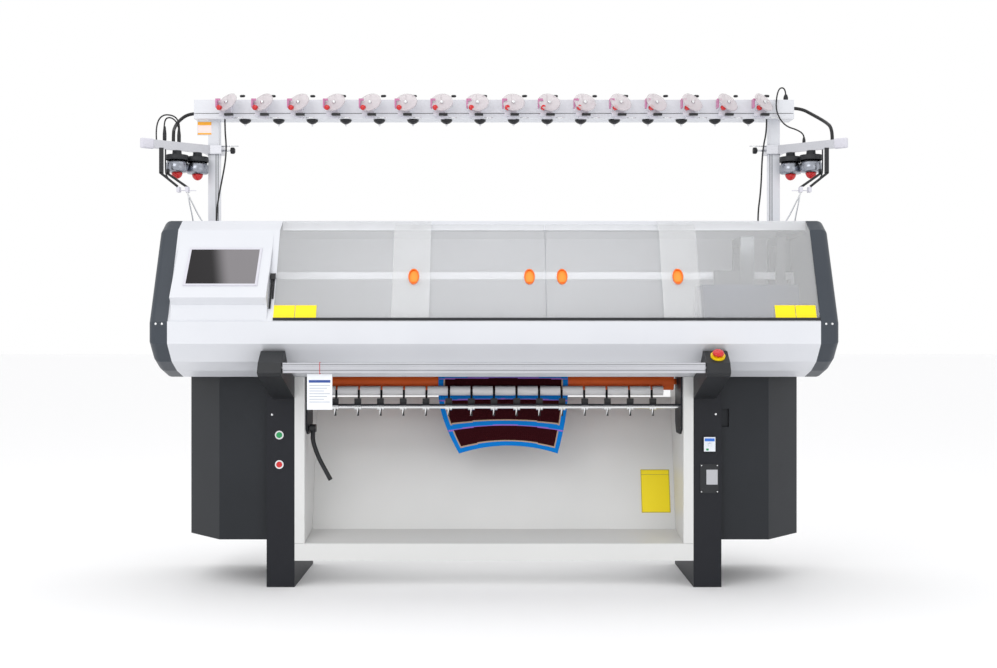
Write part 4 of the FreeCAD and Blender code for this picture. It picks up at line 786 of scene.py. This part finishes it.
class KNIT_OT_controls(bpy.types.Operator):
    """Finish the emergency stop, the breaker, the hanging card and the arms' hooks and leads."""
    bl_idname = "knit.controls"
    bl_label = "Controls"

    def execute(self, context):
        turn = tilt_x(math.radians(STOP_LEAN))
        low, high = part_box("stop_mushroom")
        middle = np.array([STOP_X * MM, (low.y + high.y) / 2, (low.z + high.z) / 2])
        head, quads = turned([(0, -8), (11, -8), (11, -1), (20, -1), (22, 1), (22, 6), (19, 10),
                              (10, 12), (0, 12.5)], ORIGIN, "z", 40)
        base = middle - turn @ np.array([0, 0, 0.5 * MM])
        piece = outward(put("stop_head", aim(head, turn, base), quads, "stop_mushroom",
                            "ABS, gloss red", "red_plastic"))
        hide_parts("stop_mushroom")
        self.breaker()
        self.left_leads()
        self.right_lead()
        self.hooks()
        self.card()
        return {"FINISHED"}

    def breaker(self):
        """Raised face, stripe and window on the front of the breaker's body."""
        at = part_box("breaker_body")[0]
        for name, low, high, material in (
                ("breaker_face", (2, -1.3, 2), (48, -0.5, 60), "ABS, breaker white"),
                ("breaker_stripe", (5, -1.9, 43), (45, -1.3, 55), "ABS, breaker blue"),
                ("breaker_window", (11, -1.9, 6), (21, -1.3, 14), "ABS, gloss green")):
            outward(put(name, *block(at, low, high), "root", material, "blue_white_plastic",
                        smooth=False))

    def card(self):
        """Printed band and rows of plain marks on the card that hangs from the start bar."""
        rows = [block(ORIGIN, (-702, CARD_FACE - 0.3, 826 - step * CARD_ROW),
                      (-624 - 11 * (step % 3), CARD_FACE, 828.8 - step * CARD_ROW))
                for step in range(7)]
        outward(put("card_rows", *join(rows), "start_bar", "card print, grey", "card",
                    smooth=False))
        band = block(ORIGIN, (-704, CARD_FACE - 0.4, 838), (-622, CARD_FACE, 848))
        outward(put("card_band", *band, "start_bar", "card print, blue", "card", smooth=False))

    def hooks(self):
        """Flat hooks below each arm, and the guides at their ends. A hook is a flat bar straight
        down and then in on the slant."""
        hooks, guides = [], []
        for side in (-1, 1):
            for x, y, top, elbow, foot_x, foot_z, half in HOOKS:
                at = spot(ORIGIN, side * x, y, elbow)
                reach = np.array([side * (foot_x - x), foot_z - elbow])
                slope, quads = block(ORIGIN, (-5, -3, -6), (5, 3, np.linalg.norm(reach)))
                hooks += [block(at, (-half, -3, 0), (half, 3, top - elbow)),
                          (aim(slope, tilt_y(math.atan2(*reach)), at), quads)]
            for x in GUIDES:
                guides.append(block((side * x * MM, 0, 0), (-6, -24, 1606), (6, 10, 1628)))
            start = 1225 if side > 0 else -1305
            guides.append(turned(rod(2, 80), spot(ORIGIN, start, -10, 1613), "x", 12))
            self.wires(side)
        soften(outward(put("yarn_hooks", *join(hooks), "root", "ABS, satin black",
                           "black_plastic", smooth=False)), 1)
        soften(outward(put("yarn_guides", *join(guides), "root", "ABS, pale lilac grey",
                           "grey_bezel", smooth=False)), 0.8)

    def boots(self, name, places):
        """Tapered boots that hold a lead where it enters, from their places, radii and heights."""
        made = [turned([(0, 0), (radius, 0), (radius * 1.12, 0.1 * tall),
                        (radius * 1.12, 0.5 * tall), (radius * 0.65, tall), (0, tall)],
                       place, "z", 18) for place, radius, tall in places]
        return outward(put(name, *join(made), "root", "ABS, satin black", "black_plastic"))

    def left_leads(self):
        """Two leads in a low arch over the left arm, both into one boot."""
        plugs = self.boots("left_arm_plugs", [(arm_point(-1, along, ARM_TOP), 7, 60)
                                              for along in (159, 224)])
        yaw = math.radians(ARM_YAW)
        for name, aside, length, stops in LEFT_LEADS:
            shift = aside * np.array([-math.sin(yaw), math.cos(yaw), 0])
            route = [arm_point(-1, along, height) / MM + shift for along, height in stops]
            lead = line_through(f"left_{name}_lead", route, LEAD_RADIUS * MM,
                                "PVC jacket, black", None)

    def right_lead(self):
        """One lead from the rail's top, over its front and down in a slack S to the arm."""
        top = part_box("stand_rail")[1].z / MM
        plugs = self.boots("right_arm_plugs", ((spot(ORIGIN, 1236, 150, top), 9, 24),
                                               (spot(ORIGIN, 1298, 86.5, ARM_TOP), 6, 24)))
        route = [(1236, 150, top + 20), (1235, 150, top + 50), (1206, 134, top + 52),
                 (1190, 122, top + 8), (1188, 116, 1955), (1222, 108, 1898), (1274, 92, 1878),
                 (1298, 86.5, 1858), (1298, 86.5, 1844)]
        lead = line_through("right_arm_lead", route, LEAD_RADIUS * MM, "PVC jacket, black", None)

    def wires(self, side):
        """Two rigid steel wires that carry the yarn guides, from the head's top up to them."""
        word = "left" if side < 0 else "right"
        for name, route in WIRES.items():
            line_through(f"{word}_{name}_wire", [(side * x, y, z) for x, y, z in route],
                         WIRE_RADIUS * MM, "nickel plate, polished", None)


# ---------------------------------------------------------------- labels and screws

DOOR_LABELS = {"door_label_left": ("outer_left_door", -851, -686),
               "door_label_right": ("outer_right_door", 1085, 1243)}
DOOR_LEAN, DOOR_FRONT, DOOR_FOOT, DOOR_LABEL_Z = math.atan2(172, 363), -357, 1075, 1106
APRON_LEAN, APRON_PLACE = math.atan2(159, 550), (0.687, 0.1744, 0.355)


class KNIT_OT_labels(bpy.types.Operator):
    """Stick the blank labels, set the screw heads and paint dark strips of shade along the start
    bar and the posts' slots.
    """
    bl_idname = "knit.labels"
    bl_label = "Labels and screws"

    def execute(self, context):
        self.door_labels()
        for name, low, high, material in (
                ("post_plate", (-1262, 171.9, 1868), (-1196, 173.9, 1928), "satin enamel, white"),
                ("post_label", (-1260, 171.3, 1871), (-1202, 171.7, 1925), "label vinyl, blush"),
                ("post_label_head", (-1260, 171.0, 1911), (-1202, 171.3, 1925),
                 "label vinyl, amber"),
                ("post_label_foot", (-1260, 171.0, 1871), (-1202, 171.3, 1878),
                 "label vinyl, amber"),
                ("rating_field", (858, -108.4, 415), (903, -107.9, 475), "label vinyl, silver")):
            outward(put(name, *block(ORIGIN, low, high), "root", material, "card", smooth=False))
        self.apron_label()
        # Two dark strips along the start bar's front: painted shade, for the shading of its
        # rounded face
        shade_strips = [block(ORIGIN, (-801.5, -430.6, z), (801.5, -429.9, z + 1.6))
                   for z in (883.5, 906.5)]
        outward(put("bar_shade_lines", *join(shade_strips), "start_bar", "cast iron, machined",
                    "aluminium", smooth=False))
        # Dark strips down the posts' fronts: painted shade, for the shading in the extrusions'
        # slots on their shaded side
        shade_strips = [block(ORIGIN, (x, 171.6, 1479.5), (x + 3, 172.2, 1787))
                   for x in (-1184, -1175, 1172, 1181)]
        outward(put("post_slot_shade", *join(shade_strips), "root", "cast iron, machined", "aluminium",
                    smooth=False))
        self.screws()
        return {"FINISHED"}

    def door_labels(self):
        """A yellow blank in two fields on each outer door, flat on its sloping sheet."""
        for name, (door, left, right) in DOOR_LABELS.items():
            half = (right - left) / 2
            back = DOOR_FRONT + (DOOR_LABEL_Z - DOOR_FOOT) * math.tan(DOOR_LEAN) - 0.6
            place = spot(ORIGIN, (left + right) / 2, back, DOOR_LABEL_Z)
            fields = []
            for low, high in ((-half, -1.2), (1.2, half)):
                field, quads = block(ORIGIN, (low, -0.3, -31), (high, 0.3, 31))
                fields.append((aim(field, tilt_x(-DOOR_LEAN), place), quads))
            outward(put(name, *join(fields), door, "label vinyl, yellow", "yellow_plastic",
                        smooth=False))

    def apron_label(self):
        """A yellow blank on the apron's slope, with a thin border and a line under its head."""
        lines = [block(ORIGIN, low, high) for low, high in (
            ((-60.5, -0.8, -91.5), (60.5, -0.4, -89.5)), ((-60.5, -0.8, 89.5), (60.5, -0.4, 91.5)),
            ((-60.5, -0.8, -89.5), (-58.5, -0.4, 89.5)), ((58.5, -0.8, -89.5), (60.5, -0.4, 89.5)),
            ((-58.5, -0.8, 70), (58.5, -0.4, 71.2)))]
        for name, parts, material in (
                ("apron_label", [block(ORIGIN, (-61.5, -0.4, -92.5), (61.5, 0, 92.5))],
                 "label vinyl, yellow"),
                ("apron_label_border", lines, "label vinyl, pencil")):
            points, quads = join(parts)
            outward(put(name, aim(points, tilt_x(-APRON_LEAN), APRON_PLACE), quads, "root",
                        material, "card", smooth=False))

    def screws(self):
        """Screw heads on the legs, round the rating plate and on the end caps' noses."""
        places = [(896, -105, 699, 5), (-897, -105, 697, 5)]
        places += [(x, -109, z, 3) for z in (386, 492) for x in (838, 902)]
        places += [(side * x, -365, 1062, 5) for side in (1, -1) for x in (1276, 1300)]
        heads = [turned([(0, -1.2), (size * 0.8, -1.2), (size, 0), (0, 0)],
                        spot(ORIGIN, x, y, z), "y", 18) for x, y, z, size in places]
        outward(put("screw_heads", *join(heads), "root", "nickel plate, polished",
                    "bright_steel"))


# ---------------------------------------------------------------- fabric

FABRIC_TOP, FABRIC_FOOT = 1032, 527
FABRIC_LEFT, FABRIC_RIGHT = -230.0, 306.0
ROLLER_Y, ROLLER_Z, WRAP_RADIUS = 55, 825, 37.5
GRID = 3                                # spacing of the cloth's points
DRAWN, DRAW_LEFT, DRAW_RIGHT = 240, 85, 42      # height drawn in above the hem, and by how much
HEM_RISE, BAND_RISE = 33, 6
BAND_EDGES = np.array([-100, 95, 221, 316, 440, 600])   # heights above the hem
YARNS = {"ground": 0.0, "edge": 0.35, "lilac": 0.65, "sand": 0.9}


def fabric_path(count):
    """Centre line of the fabric from the needle gap to its hem: straight down, round the
    roller's front by an arc, and straight down again. Returns (y, z) at equal steps of length,
    and that length, in millimetres."""
    turn = np.radians(np.linspace(180, 220, 12))
    arc = np.stack([ROLLER_Y + WRAP_RADIUS * np.cos(turn),
                    ROLLER_Z + WRAP_RADIUS * np.sin(turn)], axis=1)
    line = np.vstack([[(35, FABRIC_TOP), (35, 900)], arc, [(34, 787), (35, 765),
                                                         (35, FABRIC_FOOT)]])
    run = np.concatenate([[0], np.cumsum(np.linalg.norm(np.diff(line, axis=0), axis=1))])
    at = np.linspace(0, run[-1], count)
    return np.stack([np.interp(at, run, line[:, 0]), np.interp(at, run, line[:, 1])], 1), run[-1]


class KNIT_OT_fabric(bpy.types.Operator):
    """Hang the bordered strip of fabric. A point at u across and v down sits on the centre line
    at v, and its sides are drawn in near the hem. The hem rises towards its middle by a
    parabola, and each band's borders do so by a flatter one."""
    bl_idname = "knit.fabric"
    bl_label = "Fabric"

    def execute(self, context):
        width = FABRIC_RIGHT - FABRIC_LEFT
        columns = int(width / GRID) + 1
        path, length = fabric_path(int(fabric_path(9)[1] / GRID) + 1)
        rows = len(path)
        u = np.linspace(0, 1, columns)[None, :]
        v = np.linspace(0, length, rows)[:, None]
        low = np.clip((v - (length - DRAWN)) / DRAWN, 0, 1)
        drawn = low ** 1.6
        x = FABRIC_LEFT + DRAW_LEFT * drawn + u * (width - (DRAW_LEFT + DRAW_RIGHT) * drawn)
        y = path[:, :1] + 0 * x
        z = path[:, 1:] + HEM_RISE * (1 - (2 * u - 1) ** 2) * low
        piece = put("fabric_strip", np.stack([x, y, z], axis=2) * MM, grid_faces(rows, columns),
                    "root", "wool jersey, knitted", "knit")
        mesh = piece.data
        across = ((u[:, :-1] + u[:, 1:]) / 2 * width).repeat(rows - 1, axis=0)
        down = ((v[:-1] + v[1:]) / 2).repeat(columns - 1, axis=1)
        yarn = self.yarns(across, length - down, width, context.scene.knit_fabric.border / MM)
        attribute = mesh.attributes.new("yarn", "FLOAT", "FACE")
        attribute.data.foreach_set("value", yarn.ravel().astype(np.float32))
        layer = mesh.uv_layers.new(name="cloth")
        corner = np.empty(len(mesh.loops), np.int32)
        mesh.loops.foreach_get("vertex_index", corner)
        centimetres = np.stack([(u * width + 0 * v) / 10, (v + 0 * u) / 10], axis=2)
        layer.data.foreach_set("uv", centimetres.reshape(-1, 2)[corner].ravel())
        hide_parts("knitted_fabric")
        thick = piece.modifiers.new("cloth", "SOLIDIFY")
        thick.thickness = 2 * MM
        thick.offset = 0
        float(mesh_area(mesh))
        return {"FINISHED"}

    def yarns(self, across, above, width, border):
        """Which yarn each face has, from its place across and its height above the hem: a
        border round each band, a sand line inside it and a lilac line along its top."""
        climb = above - BAND_RISE * (1 - (2 * across / width - 1) ** 2)
        band = np.searchsorted(BAND_EDGES, climb) - 1
        along = climb - np.where(band == 0, 0, BAND_EDGES[band])
        edge = np.minimum(across, width - across)
        inner = np.minimum(edge - border * 1.6, along - border * np.where(band == 0, 1.2, 1.5))
        yarn = np.full_like(across, YARNS["ground"])
        yarn[inner < 6] = YARNS["sand"]
        yarn[inner < 0] = YARNS["edge"]
        yarn[BAND_EDGES[band + 1] - climb < 4.5] = YARNS["lilac"]
        return yarn


def mesh_area(mesh):
    """Total area of a mesh's faces."""
    areas = np.empty(len(mesh.polygons))
    mesh.polygons.foreach_get("area", areas)
    return areas.sum()


# ---------------------------------------------------------------- stage

LAMPS = (("key", (-2.6, -4.5, 4.2), 60, 3.0), ("fill", (3.2, -4.0, 2.4), 16, 3.0),
         ("top", (0, 0.5, 5.0), 26, 4.0))       # name, place, watts and side
LIT_CENTRE = Vector((0, 0, 1.0))


class KNIT_OT_stage(bpy.types.Operator):
    """Set the pale floor, the lights, the world and the camera."""
    bl_idname = "knit.stage"
    bl_label = "Stage"

    def execute(self, context):
        mesh = bpy.data.meshes.new("floor")
        mesh.from_pydata([(-40, -20, 0), (40, -20, 0), (40, 60, 0), (-40, 60, 0)], [],
                         [(0, 1, 2, 3)])
        floor = bpy.data.objects.new("floor", mesh)
        context.scene.collection.objects.link(floor)
        # Seamless paper: matt near-white with a faint tooth
        stuff, tree, shader = new_material("seamless paper, white", "#fbfbfc", 0.85)
        add_grain(tree, shader, 2.0, 0.02, 0.8, 0.9)
        mesh.materials.append(stuff)
        world = bpy.data.worlds.new("softbox room")
        world.use_nodes = True
        world.node_tree.nodes["Background"].inputs["Color"].default_value = (1, 1, 1, 1)
        world.node_tree.nodes["Background"].inputs["Strength"].default_value = 1.0
        context.scene.world = world
        for name, place, watts, size in LAMPS:
            lamp = bpy.data.lights.new(name, "AREA")
            lamp.energy = watts
            lamp.size = size
            lit = bpy.data.objects.new(name, lamp)
            lit.location = place
            lit.rotation_euler = (LIT_CENTRE - lit.location).to_track_quat("-Z", "Y").to_euler()
            context.scene.collection.objects.link(lit)
        # Narrow lamp along the head, behind the doors' upper edge
        strip = bpy.data.lights.new("inside strip", "AREA")
        strip.shape, strip.size, strip.size_y, strip.energy = "RECTANGLE", 2.0, 0.06, 1.6
        inside = bpy.data.objects.new("inside strip", strip)
        inside.location = (0.1, -0.15, 1.40)
        inside.rotation_euler = (math.radians(60), 0, 0)
        context.scene.collection.objects.link(inside)
        eye = bpy.data.cameras.new("view")
        eye.lens, eye.sensor_width, eye.shift_x = 47.0, 36.0, 0.0045
        camera = bpy.data.objects.new("view", eye)
        camera.location = (0, -5.365, 1.023)
        camera.rotation_euler = (math.pi / 2, 0, 0)
        context.scene.collection.objects.link(camera)
        context.scene.camera = camera
        context.scene.view_settings.view_transform = "Standard"
        return {"FINISHED"}


# ---------------------------------------------------------------- add-on

OPERATORS = (KNIT_OT_materials, KNIT_OT_regions, KNIT_OT_cords, KNIT_OT_stand, KNIT_OT_controls,
             KNIT_OT_labels, KNIT_OT_fabric, KNIT_OT_stage)
GROUPS = {"knit_fabric": KNIT_PG_fabric, "knit_stand": KNIT_PG_stand,
          "knit_doors": KNIT_PG_doors}


class KNIT_PT_panel(bpy.types.Panel):
    """Buttons that build the pieces in order."""
    bl_idname = "KNIT_PT_panel"
    bl_label = "Flat knitting machine"
    bl_space_type = "VIEW_3D"
    bl_region_type = "UI"
    bl_category = "Knitting"

    def draw(self, context):
        """The settings, then a button for each operator."""
        for name, group in GROUPS.items():
            settings = getattr(context.scene, name)
            for field in group.__annotations__:
                self.layout.prop(settings, field)
        for operator in OPERATORS:
            self.layout.operator(operator.bl_idname)


def register():
    """Adds the settings, operators and panel."""
    for item in (*GROUPS.values(), *OPERATORS, KNIT_PT_panel):
        bpy.utils.register_class(item)
    for name, group in GROUPS.items():
        setattr(bpy.types.Scene, name, bpy.props.PointerProperty(type=group))


def unregister():
    """Takes them out again."""
    for name in GROUPS:
        delattr(bpy.types.Scene, name)
    for item in (KNIT_PT_panel, *OPERATORS[::-1], *GROUPS.values()):
        bpy.utils.unregister_class(item)


def main():
    register()
    for operator in OPERATORS:
        module, name = operator.bl_idname.split(".")
        getattr(getattr(bpy.ops, module), name)()


if __name__ == "__main__":
    main()
